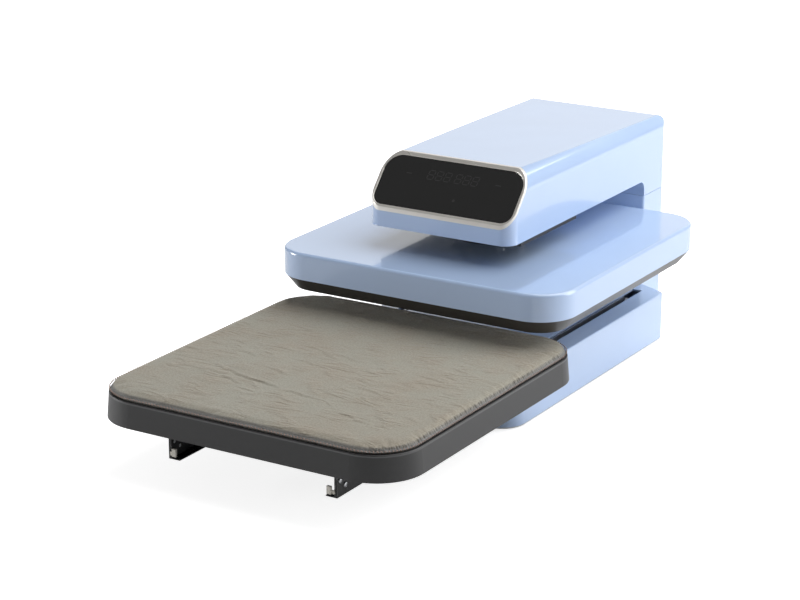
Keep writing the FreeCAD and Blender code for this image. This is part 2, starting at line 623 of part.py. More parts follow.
def make_heat_cover():
    body = new_body("heat_cover")
    prism(body, "Z", "cover_low", "cover_top", head_outline("0"))
    round_edges(body, "cover_edge", at_level(number("cover_top")))
    prism(body, "Z", "cover_low", COVER_INSIDE, head_outline("cover_wall"), cut=True)
    holes = [disc(x, y, "bolt_radius + seat_gap") for x, y in corners_of("spacer_spread")]
    prism(body, "Z", COVER_INSIDE, "cover_top", *holes, cut=True)
    keep(body, "heat_cover")


def make_heat_rim():
    """Dark skirt below the cover, sloping inwards to the heated plate."""
    body = new_body("heat_rim")
    prism(body, "Z", "rim_low", "cover_low", head_outline("rim_inset"),
          taper="atan(rim_inset / (cover_low - rim_low))")
    prism(body, "Z", "rim_low", "cover_low", head_outline("(rim_inset + rim_wall)"), cut=True)
    keep(body, "heat_rim")


def make_heating_platen():
    """Heated plate with a groove for its tubular heater in the back."""
    body = new_body("heating_platen")
    prism(body, "Z", "platen_low", PLATEN_TOP, head_outline("(rim_inset + rim_wall + seat_gap)"))
    round_edges(body, "platen_edge", at_level(number("platen_low")))
    groove = "(element_radius + seat_gap)"
    prism(body, "Z", f"{PLATEN_TOP} - 2 * {groove}", PLATEN_TOP,
          rounded(*square(f"(element_spread + {groove})"), f"element_bend + {groove}"),
          rounded(*square(f"(element_spread - {groove})"), f"element_bend - {groove}"), cut=True)
    keep(body, "heating_platen")


def make_heating_element():
    """Tubular heater bent into a closed loop."""
    body = new_body("heating_element")
    height = f"{PLATEN_TOP} - element_radius - seat_gap"
    loop = new_sketch(body, "Z", [rounded(*square("element_spread"), "element_bend")])
    loop.setExpression("AttachmentOffset.Base.z", bound(height))
    ring = new_sketch(body, "Y", [disc("element_spread", height, "element_radius")])
    doc.recompute()
    pipe = body.newObject("PartDesign::AdditivePipe", "pipe")
    pipe.Profile = ring
    pipe.Spine = (loop, [f"Edge{i}" for i in range(1, len(loop.Shape.Edges) + 1)])
    doc.recompute()
    check_state(pipe)
    keep(body, "heating_element")


def make_head_inside():
    """Insulation board, pressure plate and what holds them between the platen and the cover."""
    hole = "(standoff_radius + seat_gap)"
    body = new_body("insulation_board")
    prism(body, "Z", BOARD_LOW, PLATE_LOW, rounded(*square("board_half_side"), "cover_corner / 2"),
          *[disc(x, y, hole) for x, y in corners_of("standoff_spread")],
          disc("0", "0", hole))
    keep(body, "insulation_board")
    body = new_body("pressure_plate")
    prism(body, "Z", PLATE_LOW, PLATE_TOP, rounded(*square("plate_half_side"), "cover_corner / 3"))
    keep(body, "pressure_plate")
    posts = [rod("Z", x, y, PLATEN_TOP, "standoff_radius", f"{PLATE_LOW} - {PLATEN_TOP}")
             for x, y in corners_of("standoff_spread")]
    keep(grouped(*posts), "platen_standoffs")
    tubes = [tube("Z", x, y, PLATE_TOP, "spacer_radius", "bolt_radius + running_gap",
                  f"{COVER_INSIDE} - {PLATE_TOP}") for x, y in corners_of("spacer_spread")]
    keep(grouped(*tubes), "head_spacers")
    probe = rod("Z", "0", "0", PLATEN_TOP, "standoff_radius", "board_thickness")
    keep(probe, "temperature_sensor")


def make_head_bolts():
    """Bolts from the flange through the cover into the spacers."""
    bolts = []
    low = f"{PLATE_TOP} + seat_gap"
    for x, y in corners_of("spacer_spread"):
        shank = rod("Z", x, y, low, "bolt_radius", f"{FLANGE_TOP} - ({low})")
        head = rod("Z", x, y, FLANGE_TOP, "bolt_radius * 1.7", "bolt_radius")
        bolts.append(fused(shank, head))
    keep(grouped(*bolts), "head_bolts")


def make_ram():
    """Flange, ram tube, nut and guide rods that carry the head."""
    body = new_body("ram_flange")
    prism(body, "Z", "cover_top", FLANGE_TOP, disc("0", "0", "flange_radius"),
          *[disc(x, y, "bolt_radius + seat_gap") for x, y in corners_of("spacer_spread")])
    round_edges(body, "flange_chamfer", at_level(number(FLANGE_TOP), number("6 * flange_radius")), "Chamfer")
    keep(body, "ram_flange")
    body = new_body("ram_tube")
    prism(body, "Z", FLANGE_TOP, "ram_top", disc("0", "0", "ram_radius"), disc("0", "0", "ram_bore"))
    round_edges(body, "ram_chamfer", at_level(number("ram_top"), number("6 * ram_radius")), "Chamfer")
    keep(body, "ram_tube")
    body = new_body("ram_nut")
    bore = disc("0", "0", "screw_radius + running_gap")
    prism(body, "Z", "ram_top", "ram_top + nut_height / 2", disc("0", "0", "ram_radius - ram_chamfer"), bore)
    prism(body, "Z", "ram_top + nut_height / 2", "ram_top + nut_height", disc("0", "0", "nut_radius"), bore)
    keep(body, "ram_nut")
    rods = [rod("Z", f"{side} * rod_spread", "0", FLANGE_TOP, "rod_radius", f"rod_top - {FLANGE_TOP}")
            for name, side in SIDES]
    keep(grouped(*rods), "guide_rods")


# Arm, column and base.

FACE = "sqrt(face_run * face_run + face_rise * face_rise)"
ARM_HALF = "(column_width / 2)"
REAR = "(base_rear + column_depth)"
NECK = "(seam_height + seam_gap)"
BEYOND = "700"


def face_y(far, proud):
    """Y of a point on the display face, far up the slope and proud of the frame's back."""
    return f"(-arm_front + (({far}) * face_run - ({proud}) * face_rise) / {FACE})"


def face_z(far, proud):
    """Z of that point."""
    return f"(chin_top + (({far}) * face_rise + ({proud}) * face_run) / {FACE})"


def beside_face(proud, side):
    """Side-view outline of all that lies before (side 1) or behind (-1) a plane along the face."""
    points = [(f"-{BEYOND}", proud), (BEYOND, proud),
              (BEYOND, f"{proud} + {side} * {BEYOND}"), (f"-{BEYOND}", f"{proud} + {side} * {BEYOND}")]
    return [(face_y(far, depth), face_z(far, depth)) for far, depth in points]


def on_face(body, low, high, *outlines, cut=False):
    """Prism square to the display face; u runs along X and v up the slope."""
    sketch = new_sketch(body, "Z", outlines)
    sketch.AttachmentOffset = FreeCAD.Placement(VECTOR(), FreeCAD.Rotation(VECTOR(1, 0, 0), 45))
    sketch.setExpression("AttachmentOffset.Rotation.Angle", bound("atan(face_rise / face_run)"))
    sketch.setExpression("AttachmentOffset.Base.y", bound(face_y("0", low)))
    sketch.setExpression("AttachmentOffset.Base.z", bound(face_z("0", low)))
    return extrude(body, sketch, f"({high}) - ({low})", cut)


def arm_form(label, inset, neck):
    """The arm's outer form moved in by an inset: a side profile trimmed in plan and from the front."""
    body = new_body(label)
    front = f"-arm_front + {inset}"
    rear = f"{REAR} - {inset}"
    step = f"base_rear + {inset}"
    low = f"arm_low + {inset}"
    half = f"({ARM_HALF} - {inset})"
    profile = [(front, low), (front, f"arm_front_top - {inset}"), (rear, f"arm_rear_top - {inset}"),
               (rear, neck), (step, neck), (step, low)]
    prism(body, "X", f"-{half}", half, profile)
    rear_y = number(rear)
    step_y = number(step)
    top = number(f"arm_rear_top - {inset}")
    bottom = number(low)
    round_edges(body, f"arm_throat + {inset}", along("x", lambda p: near(p.y, step_y) and near(p.z, bottom)))
    round_edges(body, f"arm_rear_edge - {inset}", along("x", lambda p: near(p.y, rear_y) and near(p.z, top)))
    around = rect(*square(BEYOND))
    plan = rounded(f"-{half}", half, front, rear, f"arm_corner - {inset}", f"column_corner - {inset}")
    prism(body, "Z", "0", "arm_front_top", around, plan, cut=True)
    prism(body, "Y", f"{front} - 1", f"{rear} + 1", around,
          rounded(f"-{half}", half, "seam_height - 99", f"arm_front_top - {inset}",
                  "column_corner", f"arm_edge - {inset}"), cut=True)
    return body


def make_arm_housing():
    """Moulded shell of the arm, open below at the neck, with the opening for the ram."""
    outer = arm_form("arm_outside", "0", NECK)
    prism(outer, "X", f"-{ARM_HALF} - 1", f"{ARM_HALF} + 1", beside_face("0", 1), cut=True)
    prism(outer, "Z", "arm_low - 1", "arm_low + arm_wall + 1",
          rounded("-hatch_half_width", "hatch_half_width", "-hatch_front", "hatch_rear", "hatch_corner"),
          cut=True)
    inner = arm_form("arm_inside", "arm_wall", "seam_height - 5")
    prism(inner, "X", f"-{ARM_HALF} - 1", f"{ARM_HALF} + 1", beside_face("-arm_wall", 1), cut=True)
    window = rounded("-led_half_width - seat_gap", "led_half_width + seat_gap",
                     "led_low - seat_gap", "led_high + seat_gap", "window_corner")
    on_face(inner, "-arm_wall - 1", "1", window)
    keep(without(outer, inner), "arm_housing")


def glass_outline(inset):
    """Opening of the display frame, moved in by an inset."""
    return rounded(f"-glass_half_width + {inset}", f"glass_half_width - {inset}", f"glass_low + {inset}",
                   f"glass_high - {inset}", f"glass_corner_low - {inset}", f"glass_corner_high - {inset}")


def on_front_plane():
    """Test for edges that lie in the display frame's front plane, corner arcs included."""
    rise = number(f"face_rise / {FACE}")
    run = number(f"face_run / {FACE}")
    level = number(f"{face_z('0', 'bezel_thickness')}") * run - number(face_y("0", "bezel_thickness")) * rise

    def pick(edge):
        steps = [edge.FirstParameter + (edge.LastParameter - edge.FirstParameter) * i / 4 for i in range(5)]
        places = [edge.valueAt(step) for step in steps]
        return all(near(place.z * run - place.y * rise, level) for place in places)
    return pick


def make_display():
    """Frame, glass, digit module and circuit board of the display."""
    body = arm_form("display_bezel", "0", NECK)
    prism(body, "X", f"-{ARM_HALF} - 1", f"{ARM_HALF} + 1", beside_face("bezel_thickness", 1), cut=True)
    prism(body, "X", f"-{ARM_HALF} - 1", f"{ARM_HALF} + 1", beside_face("0", -1), cut=True)
    on_face(body, "-1", "bezel_thickness + 1", glass_outline("0"), cut=True)
    round_edges(body, "bezel_edge", on_front_plane())
    keep(body, "display_bezel")
    body = new_body("display_glass")
    on_face(body, "0", "bezel_thickness - glass_recess", glass_outline("seat_gap / 2"))
    keep(body, "display_glass")
    body = new_body("led_display")
    on_face(body, "-arm_wall - led_depth", "-seat_gap",
            rect("-led_half_width", "led_half_width", "led_low", "led_high"))
    keep(body, "led_display")
    body = new_body("control_board")
    on_face(body, "-arm_wall - led_depth - circuit_sheet", "-arm_wall - led_depth",
            rounded("-led_half_width - board_side_margin", "led_half_width + board_side_margin",
                    "led_low - board_low_margin", "led_high + board_high_margin", "board_corner"))
    keep(body, "control_board")


def make_arm_pan():
    """Dark pan that closes the arm's underside round the ram and the guide rods."""
    body = new_body("arm_pan")
    half = f"({ARM_HALF} - pan_inset)"
    outline = [(f"-{half}", "pan_rear"), (f"-{half}", "-pan_front + pan_chamfer"),
               (f"-{half} + pan_chamfer", "-pan_front"), (f"{half} - pan_chamfer", "-pan_front"),
               (half, "-pan_front + pan_chamfer"), (half, "pan_rear")]
    prism(body, "Z", "arm_low - pan_depth", "arm_low", outline,
          rounded("-rod_spread - rod_radius * 2", "rod_spread + rod_radius * 2",
                  "-ram_radius - 2", "ram_radius + 2", "ram_radius"))
    keep(body, "arm_pan")


def column_outline(inset):
    """Plan of the column, moved in by an inset."""
    front_radius = f"max(column_edge - {inset}; 0.5)"
    rear_radius = f"max(column_corner - {inset}; 0.5)"
    return rounded(f"-{ARM_HALF} + {inset}", f"{ARM_HALF} - {inset}", f"base_rear + {inset}",
                   f"{REAR} - {inset}", front_radius, rear_radius)


def socket_outline(side, kind, inset):
    """Cut-out in the column's back for the power inlet or the switch."""
    return rounded(f"{side} * socket_spread - {kind}_half_width + {inset}",
                   f"{side} * socket_spread + {kind}_half_width - {inset}",
                   f"socket_height - {kind}_half_height + {inset}",
                   f"socket_height + {kind}_half_height - {inset}", "socket_corner")


def make_column_housing():
    """Shell of the column, with a locating lip for the arm and openings for inlet, switch and air."""
    body = new_body("column_housing")
    prism(body, "Z", "base_low", "seam_height", column_outline("0"))
    prism(body, "Z", "base_low", "seam_height", column_outline("base_wall"), cut=True)
    root = "(arm_wall + seat_gap)"
    prism(body, "Z", "seam_height - 2 * lip_height", "seam_height", column_outline("(base_wall - seat_gap)"),
          column_outline(f"({root} + lip_wall)"))
    prism(body, "Z", "seam_height", "seam_height + lip_height", column_outline(root),
          column_outline(f"({root} + lip_wall)"))
    outside = (f"{REAR} - base_wall - 1", f"{REAR} + 1")
    prism(body, "Y", *outside, socket_outline("-1", "inlet", "0"), socket_outline("1", "switch", "0"),
          cut=True)
    slots = []
    for i in range(int(number("vent_count"))):
        height = f"vent_low + {i} * vent_pitch"
        slots.append(rounded("-column_width / 4", "column_width / 4", height, f"{height} + vent_pitch / 3",
                             "vent_pitch / 7"))
    prism(body, "Y", *outside, *slots, cut=True)
    keep(body, "column_housing")


SHOULDER_END = "(column_width / 2 - column_edge)"
SHOULDER_WIDE = f"(base_width / 2 - {SHOULDER_END})"
SHOULDER_DEEP = "(base_rear - shoulder_start)"
SHOULDER = f"sqrt({SHOULDER_WIDE} ^ 2 + {SHOULDER_DEEP} ^ 2)"


def base_outline(inset):
    """Plan of the base, moved in by an inset: a rectangle whose sides turn in to the column."""
    half = f"(base_width / 2 - {inset})"
    turn = f"(shoulder_start - {inset} * ({SHOULDER} - {SHOULDER_DEEP}) / {SHOULDER_WIDE})"
    end = f"({SHOULDER_END} - {inset} * ({SHOULDER} - {SHOULDER_WIDE}) / {SHOULDER_DEEP})"
    front = f"-base_front + {inset}"
    rear = f"base_rear - {inset}"
    return [(f"-{half}", front), (half, front), (half, turn), (end, rear), (f"-{end}", rear),
            (f"-{half}", turn)]


def round_base(body, inset):
    """Round the upright corners that stand on the base's outline."""
    side = number(f"base_width / 2 - {inset}")
    front = number(f"-base_front + {inset}")

    def corner(ahead):
        return along("z", lambda p: near(abs(p.x), side) and near(p.y, front) == ahead)
    round_edges(body, f"base_corner_front - {inset}", corner(True))
    round_edges(body, f"shoulder_corner - {inset}", corner(False))


def make_base_housing():
    """Shell of the base with the two slots and notches through which the drawer's rails pass."""
    body = new_body("base_housing")
    prism(body, "Z", "base_low", "base_top", base_outline("0"))
    round_base(body, "0")
    round_edges(body, "base_edge", at_level(number("base_top")))
    inside = new_body("base_inside")
    prism(inside, "Z", "base_low", "base_top - base_wall", base_outline("base_wall"))
    round_base(inside, "base_wall")
    openings = []
    for name, side in SIDES:
        outer = "slot_inner + slot_width"
        openings.append(block(span(side, "slot_inner", outer), ("-base_front - 1", "slot_end"),
                              ("base_top - base_wall - 1", "base_top + 1")))
        openings.append(block(span(side, "notch_inner", outer),
                              ("-base_front - 1", "-base_front + base_wall + 1"),
                              ("notch_low", "base_top - base_wall")))
    keep(without(body, inside, *openings), "base_housing")


def foot_places():
    """Feet under the base's four corners and under the column's back."""
    rows = [("foot_spread_front", "-foot_front"), ("foot_spread_front", "(shoulder_start - 2 * foot_radius)"),
            ("foot_spread_rear", "foot_rear")]
    return [(f"{side} * {spread}", y) for spread, y in rows for name, side in SIDES]


def make_floor():
    """Steel floor plate under base and column, with rubber feet and their screws."""
    body = new_body("floor_plate")
    low = "(base_low - floor_thickness)"
    prism(body, "Z", low, "base_low", base_outline("floor_inset"))
    round_base(body, "floor_inset")
    prism(body, "Z", low, "base_low", rect(f"-{SHOULDER_END} + floor_inset", f"{SHOULDER_END} - floor_inset",
                                           "shoulder_start", f"{REAR} - floor_inset"))
    keep(body, "floor_plate")
    feet = []
    screws = []
    above = f"{low} - foot_recess"
    for x, y in foot_places():
        foot = rod("Z", x, y, "0", "foot_radius", low)
        recess = rod("Z", x, y, "0", "foot_radius / 2", "foot_recess")
        hole = rod("Z", x, y, "foot_recess", "bolt_radius / 2 + running_gap", above)
        feet.append(without(foot, recess, hole))
        head = rod("Z", x, y, "foot_screw_recess", "bolt_radius", "foot_recess - foot_screw_recess")
        shank = rod("Z", x, y, "foot_recess", "bolt_radius / 2", above)
        screws.append(fused(head, shank))
    keep(grouped(*feet), "rubber_feet")
    keep(grouped(*screws), "foot_screws")


# The steel frame and the drive inside arm and column.

FRAME_LOW = "(arm_low + arm_wall + seat_gap)"
FRAME_TOP = f"({FRAME_LOW} + frame_sheet)"
BUSH_RADIUS = "(rod_radius + running_gap + bush_wall)"
POST_FRONT = "(base_rear + arm_wall + lip_wall + 2)"
POST_BACK = f"({REAR} - inlet_depth - 2)"


def folded(half, front, back):
    """Plan of a channel folded from sheet, with its web at the back and open to the front."""
    inside = f"({half} - frame_sheet)"
    web = f"({back} - frame_sheet)"
    return [(f"-{half}", front), (f"-{inside}", front), (f"-{inside}", web), (inside, web),
            (inside, front), (half, front), (half, back), (f"-{half}", back)]


def make_steel_frame():
    """Folded channel in the arm, U-shaped post in the column and the bridge over the ram."""
    body = new_body("arm_frame")
    half = "frame_half_width"
    rear = f"{REAR} - column_corner"
    holes = [disc(f"{side} * rod_spread", "0", BUSH_RADIUS) for name, side in SIDES]
    prism(body, "Z", FRAME_LOW, FRAME_TOP, rect(f"-{half}", half, "-frame_front", rear), *holes,
          disc("0", "0", "ram_radius + 2"))
    flanges = [rect(*span(side, f"{half} - frame_sheet", half), "-frame_front", rear) for name, side in SIDES]
    prism(body, "Z", FRAME_TOP, f"{FRAME_LOW} + frame_height", *flanges)
    keep(body, "arm_frame")
    body = new_body("column_frame")
    prism(body, "Z", "base_low", FRAME_LOW, folded("post_half_width", POST_FRONT, POST_BACK))
    keep(body, "column_frame")
    body = new_body("drive_bridge")
    half = "bridge_half_width"
    ends = ("-gearbox_front", "gearbox_rear")
    prism(body, "Z", "bridge_top - bridge_sheet", "bridge_top", rect(f"-{half}", half, *ends),
          disc("0", "0", "ram_bore"))
    legs = [rect(*span(side, f"{half} - frame_sheet", half), *ends) for name, side in SIDES]
    prism(body, "Z", FRAME_TOP, "bridge_top - bridge_sheet", *legs)
    keep(body, "drive_bridge")


def make_drive():
    """Gearbox, motor, lead screw and guide bushes."""
    body = new_body("gearbox")
    half = "gearbox_half_width"
    top = "(bridge_top + gearbox_height)"
    prism(body, "Z", "bridge_top", top,
          rounded(f"-{half}", half, "-gearbox_front", "gearbox_rear", "gearbox_corner"),
          disc("0", "0", "screw_radius + running_gap"))
    keep(body, "gearbox")
    height = "bridge_top + gearbox_height / 2"
    can = rod("Y", "0", "gearbox_rear", height, "motor_radius", "motor_length")
    boss = rod("Y", "0", "gearbox_rear + motor_length", height, "motor_radius / 2", "motor_boss")
    keep(fused(can, boss), "gear_motor")
    start = f"({FLANGE_TOP} + screw_tip_gap)"
    screw = rod("Z", "0", "0", start, "screw_radius", f"{top} - screw_clearance - {start}")
    collar = rod("Z", "0", "0", "bridge_top - bridge_sheet", "ram_bore - seat_gap",
                 "bridge_sheet - running_gap")
    keep(fused(screw, collar), "lead_screw")
    bushes = []
    for name, side in SIDES:
        x = f"{side} * rod_spread"
        low = f"({FRAME_LOW} - bush_drop)"
        sleeve = rod("Z", x, "0", low, BUSH_RADIUS, "frame_sheet + bush_length")
        ring = rod("Z", x, "0", FRAME_TOP, f"{BUSH_RADIUS} + bush_collar", "bush_collar")
        bore = rod("Z", x, "0", low, "rod_radius + running_gap", "frame_sheet + bush_length")
        bushes.append(without(fused(sleeve, ring), bore))
    keep(grouped(*bushes), "guide_bushes")


def make_boards():
    """Power board and relay on the floor of the base."""
    half = "power_board_half"
    underside = "base_low + power_board_lift"
    face = f"{underside} + circuit_sheet"
    inset = "2 * post_radius"
    rows = (f"-power_board_front + {inset}", f"-power_board_rear - {inset}")
    posts = [rod("Z", f"{side} * ({half} - {inset})", y, "base_low", "post_radius", "power_board_lift")
             for name, side in SIDES for y in rows]
    board = block((f"-{half}", half), ("-power_board_front", "-power_board_rear"), (underside, face))
    choke_x = f"-{half} + choke_width / 3"
    choke_y = "-power_board_front + choke_depth / 2"
    choke = block((choke_x, f"{choke_x} + choke_width"), (choke_y, f"{choke_y} + choke_depth"),
                  (face, f"{face} + choke_height"))
    can = rod("Z", f"{half} / 2", "-(power_board_front + power_board_rear) / 2 - capacitor_radius * 2", face,
              "capacitor_radius", "capacitor_height")
    keep(fused(*posts, board, choke, can), "power_board")
    deep = ("relay_front", "relay_front + relay_depth")
    reach = "relay_width / 2 + relay_ear"
    foot = block((f"-({reach})", reach), deep, ("base_low", "base_low + relay_foot"))
    case = block(("-relay_width / 2", "relay_width / 2"), deep,
                 ("base_low + relay_foot", "base_low + relay_height"))
    keep(fused(foot, case), "solid_state_relay")


SWITCH_HALF = "(switch_half_width - seat_gap)"


def make_sockets():
    """Power inlet with its pins and the housing of the power switch."""
    for side, kind, label in (("-1", "inlet", "power_inlet"), ("1", "switch", "switch_housing")):
        body = new_body(label)
        prism(body, "Y", f"{REAR} - {kind}_depth", REAR, socket_outline(side, kind, "seat_gap"))
        prism(body, "Y", REAR, f"{REAR} + socket_lip", socket_outline(side, kind, "(-socket_rim)"))
        prism(body, "Y", f"{REAR} - {kind}_hollow", f"{REAR} + socket_lip",
              socket_outline(side, kind, "socket_wall"), cut=True)
        if kind == "switch":
            prism(body, "X", f"socket_spread - {SWITCH_HALF}", f"socket_spread + {SWITCH_HALF}",
                  disc(REAR, "socket_height", "rocker_pin + running_gap"), cut=True)
        keep(body, label)
    pins = []
    for turn, rise in ((-1, "-pin_half_height"), (0, "pin_half_height"), (1, "-pin_half_height")):
        place = f"-socket_spread + {turn} * pin_spread"
        level = f"socket_height {rise}" if rise.startswith("-") else f"socket_height + {rise}"
        pins.append(block((f"{place} - pin_half_width", f"{place} + pin_half_width"),
                          (f"{REAR} - inlet_hollow", f"{REAR} - pin_recess"),
                          (f"{level} - pin_half_height", f"{level} + pin_half_height")))
    keep(grouped(*pins), "inlet_pins")


def rocker_reach():
    """How far the proud half of the rocker stands behind the column."""
    return "(rocker_proud + rocker_half_height * tan(rocker_tilt))"


def make_rocker():
    """Rocker of the power switch, a shallow V on two pins that turn in its housing's walls."""
    body = new_body("switch_rocker")
    half = "rocker_half_height"
    points = [(rocker_reach(), half), ("rocker_proud", "0"), ("rocker_proud", f"-{half}"),
              ("-rocker_root", f"-{half}"), ("-rocker_deep", "0"), ("rocker_root", half)]
    outline = [(f"{REAR} + {y}", f"socket_height + {z}") for y, z in points]
    wide = "(switch_half_width - socket_wall - seat_gap)"
    prism(body, "X", f"socket_spread - {wide}", f"socket_spread + {wide}", outline)
    reach = f"({SWITCH_HALF} - seat_gap)"
    prism(body, "X", f"socket_spread - {reach}", f"socket_spread + {reach}",
          disc(REAR, "socket_height", "rocker_pin"))
    keep(body, "switch_rocker")


# The drawer.

TRAY_MIDDLE = "(-tray_rear - tray_depth / 2)"
PAD_INSET = "(tray_lean + tray_wall + pad_gap)"


def tray_outline(inset):
    """Plan of the tray, moved in by an inset."""
    return rounded(f"-tray_width / 2 + {inset}", f"tray_width / 2 - {inset}",
                   f"{TRAY_MIDDLE} - tray_depth / 2 + {inset}", f"{TRAY_MIDDLE} + tray_depth / 2 - {inset}",
                   f"tray_corner - {inset}")


def make_tray():
    """Shallow tray with walls that lean in, hollow below its floor."""
    body = new_body("drawer_tray")
    inside = "(tray_lean + tray_wall)"
    prism(body, "Z", "tray_low", "tray_top", tray_outline("0"),
          taper="-atan(tray_lean / (tray_top - tray_low))")
    round_edges(body, "tray_edge", at_level(number("tray_top")))
    prism(body, "Z", "tray_floor", "tray_top", tray_outline(inside), cut=True)
    prism(body, "Z", "tray_low", "tray_floor - tray_sheet", tray_outline(inside), cut=True)
    keep(body, "drawer_tray")


def make_pad():
    """Aluminium plate, silicone core and fabric cover of the pressing pad."""
    inset = f"({PAD_INSET} + cloth_thickness)"
    under_cloth = "(pad_top - cloth_thickness)"
    body = new_body("pad_plate")
    prism(body, "Z", "tray_floor", "pad_plate_top", tray_outline(inset))
    prism(body, "Z", "tray_floor", "pad_plate_top - pad_plate_sheet",
          tray_outline(f"({inset} + pad_plate_sheet)"), cut=True)
    keep(body, "pad_plate")
    body = new_body("pad_core")
    prism(body, "Z", "pad_plate_top", under_cloth, tray_outline(inset))
    round_edges(body, "pad_crown - cloth_thickness", at_level(number(under_cloth)))
    keep(body, "pad_core")
    outside = new_body("cover_outside")
    prism(outside, "Z", "tray_floor + 3", "pad_top", tray_outline(PAD_INSET))
    round_edges(outside, "pad_crown", at_level(number("pad_top")))
    inside = new_body("cover_inside")
    prism(inside, "Z", "tray_floor", under_cloth, tray_outline(inset))
    round_edges(inside, "pad_crown - cloth_thickness", at_level(number(under_cloth)))
    keep(without(outside, inside), "pad_cover")


# Telescopic slides.  A member's share says how much of the drawer's travel it makes.

SLIDE_TOP = "(slide_low + slide_height)"
OUTER_HALF_GAP = "(outer_ball + running_gap - race_depth)"
INNER_HALF_GAP = "(inner_ball + running_gap - race_depth)"
BALL_LEVEL = f"(slide_low + slide_sheet + {OUTER_HALF_GAP})"
MIDDLE_LOW = f"({BALL_LEVEL} + {OUTER_HALF_GAP})"
INNER_BALL_LEVEL = f"({MIDDLE_LOW} + slide_sheet + {INNER_HALF_GAP})"
INNER_LOW = f"({INNER_BALL_LEVEL} + {INNER_HALF_GAP})"
SLIDE_INNER = "(slide_face - slide_depth)"
BALL_LINE = f"({SLIDE_INNER} + ball_line)"


def mirrored(level):
    """The same height seen from the slide's top."""
    return f"(2 * slide_low + slide_height - {level})"


def sided(side, points):
    """Section points given by their distance from the middle, put on one side."""
    return [(f"({side}) * {x}", z) for x, z in points]


def channel(side, web, tips, low, sheet_name):
    """Section of a C-shaped member whose web stands at one distance and whose flanges reach another."""
    inward = "-" if number(f"{web} - {tips}") > 0 else "+"
    web_in = f"({web} {inward} {sheet_name})"
    high = mirrored(low)
    points = [(web, low), (tips, low), (tips, f"{low} + {sheet_name}"), (web_in, f"{low} + {sheet_name}"),
              (web_in, f"{high} - {sheet_name}"), (tips, f"{high} - {sheet_name}"), (tips, high), (web, high)]
    return sided(side, points)


def front_of(share, length="slide_length"):
    """Front end of a member with the drawer out, centred on the slide when the drawer is shut."""
    return f"(-slide_front - {share} * drawer_travel + (slide_length - {length}) / 2)"


def member(label, share, outline, length="slide_length"):
    """Straight folded member of a slide."""
    body = new_body(label)
    low = front_of(share, length)
    prism(body, "Y", low, f"{low} + {length}", outline)
    return body


def add_races(body, side, share, level, ball):
    """Grooves along both flanges of a member, in which one row of balls runs."""
    low = front_of(share)
    rows = [disc(f"({side}) * {BALL_LINE}", height, f"{ball} + running_gap")
            for height in (level, mirrored(level))]
    prism(body, "Y", f"{low} - 1", f"{low} + slide_length + 1", *rows, cut=True)


def make_cage(label, side, share, level, ball, web):
    """Thin folded strip with balls held in holes along both edges."""
    tips = f"({BALL_LINE} - flange_past_balls)"
    strip = channel(side, web, tips, f"({level} - cage_sheet / 2)", "cage_sheet")
    body = member(label, share, strip, "cage_length")
    low = front_of(share, "cage_length")
    places = [(f"{side} * {BALL_LINE}", f"{low} + cage_length * {i}") for i in (0.1, 0.5, 0.9)]
    holes = [disc(x, y, f"{ball} + running_gap") for x, y in places]
    prism(body, "Z", "slide_low", SLIDE_TOP, *holes, cut=True)
    balls = []
    for x, y in places:
        for height in (level, mirrored(level)):
            piece = doc.addObject("Part::Sphere", "ball")
            piece.setExpression("Radius", bound(ball))
            for axis, text in zip("xyz", (x, y, height)):
                piece.setExpression(f"Placement.Base.{axis}", bound(text))
            balls.append(piece)
    keep(grouped(body, *balls), label)


def make_slide(name, side):
    """Outer, middle and inner members of one slide with the two ball cages between them."""
    tips = f"({BALL_LINE} - flange_past_balls)"
    outer = member("slide_outer", "1",
                   channel(side, "slide_face", f"({SLIDE_INNER} + seat_gap)", "slide_low", "slide_sheet"))
    add_races(outer, side, "1", BALL_LEVEL, "outer_ball")
    holes = [disc(y, z, "rail_screw_radius + running_gap") for y, z in rail_screws()]
    prism(outer, "X", *span(side, "slide_face - slide_sheet - 1", "slide_face + 1"), *holes, cut=True)
    keep(outer, f"slide_outer_{name}")
    centre = member("slide_middle", "0.5",
                    channel(side, f"({BALL_LINE} + middle_web)", tips, MIDDLE_LOW, "slide_sheet"))
    add_races(centre, side, "0.5", BALL_LEVEL, "outer_ball")
    add_races(centre, side, "0.5", INNER_BALL_LEVEL, "inner_ball")
    keep(centre, f"slide_middle_{name}")
    inner = member("slide_inner", "0",
                   channel(side, SLIDE_INNER, f"({SLIDE_INNER} + inner_flange)", INNER_LOW, "slide_sheet"))
    add_races(inner, side, "0", INNER_BALL_LEVEL, "inner_ball")
    keep(inner, f"slide_inner_{name}")
    make_cage(f"ball_cage_outer_{name}", side, "0.75", BALL_LEVEL, "outer_ball",
              f"({BALL_LINE} + outer_cage_web)")
    make_cage(f"ball_cage_inner_{name}", side, "0.25", INNER_BALL_LEVEL, "inner_ball",
              f"({BALL_LINE} + inner_cage_web)")


# Screws of each rail bracket: distance behind the slide's front end, height above its lower face.
RAIL_SCREW_PLACES = (("screw_front", "slide_height - screw_high"), ("screw_front + screw_step", "screw_low"),
                     ("slide_length - screw_rear", "(slide_height - screw_high + screw_low) / 2"))


def rail_screws():
    """Y and Z of the screws that hold an outer member to its bracket."""
    low = front_of("1")
    return [(f"{low} + {y}", f"slide_low + {z}") for y, z in RAIL_SCREW_PLACES]


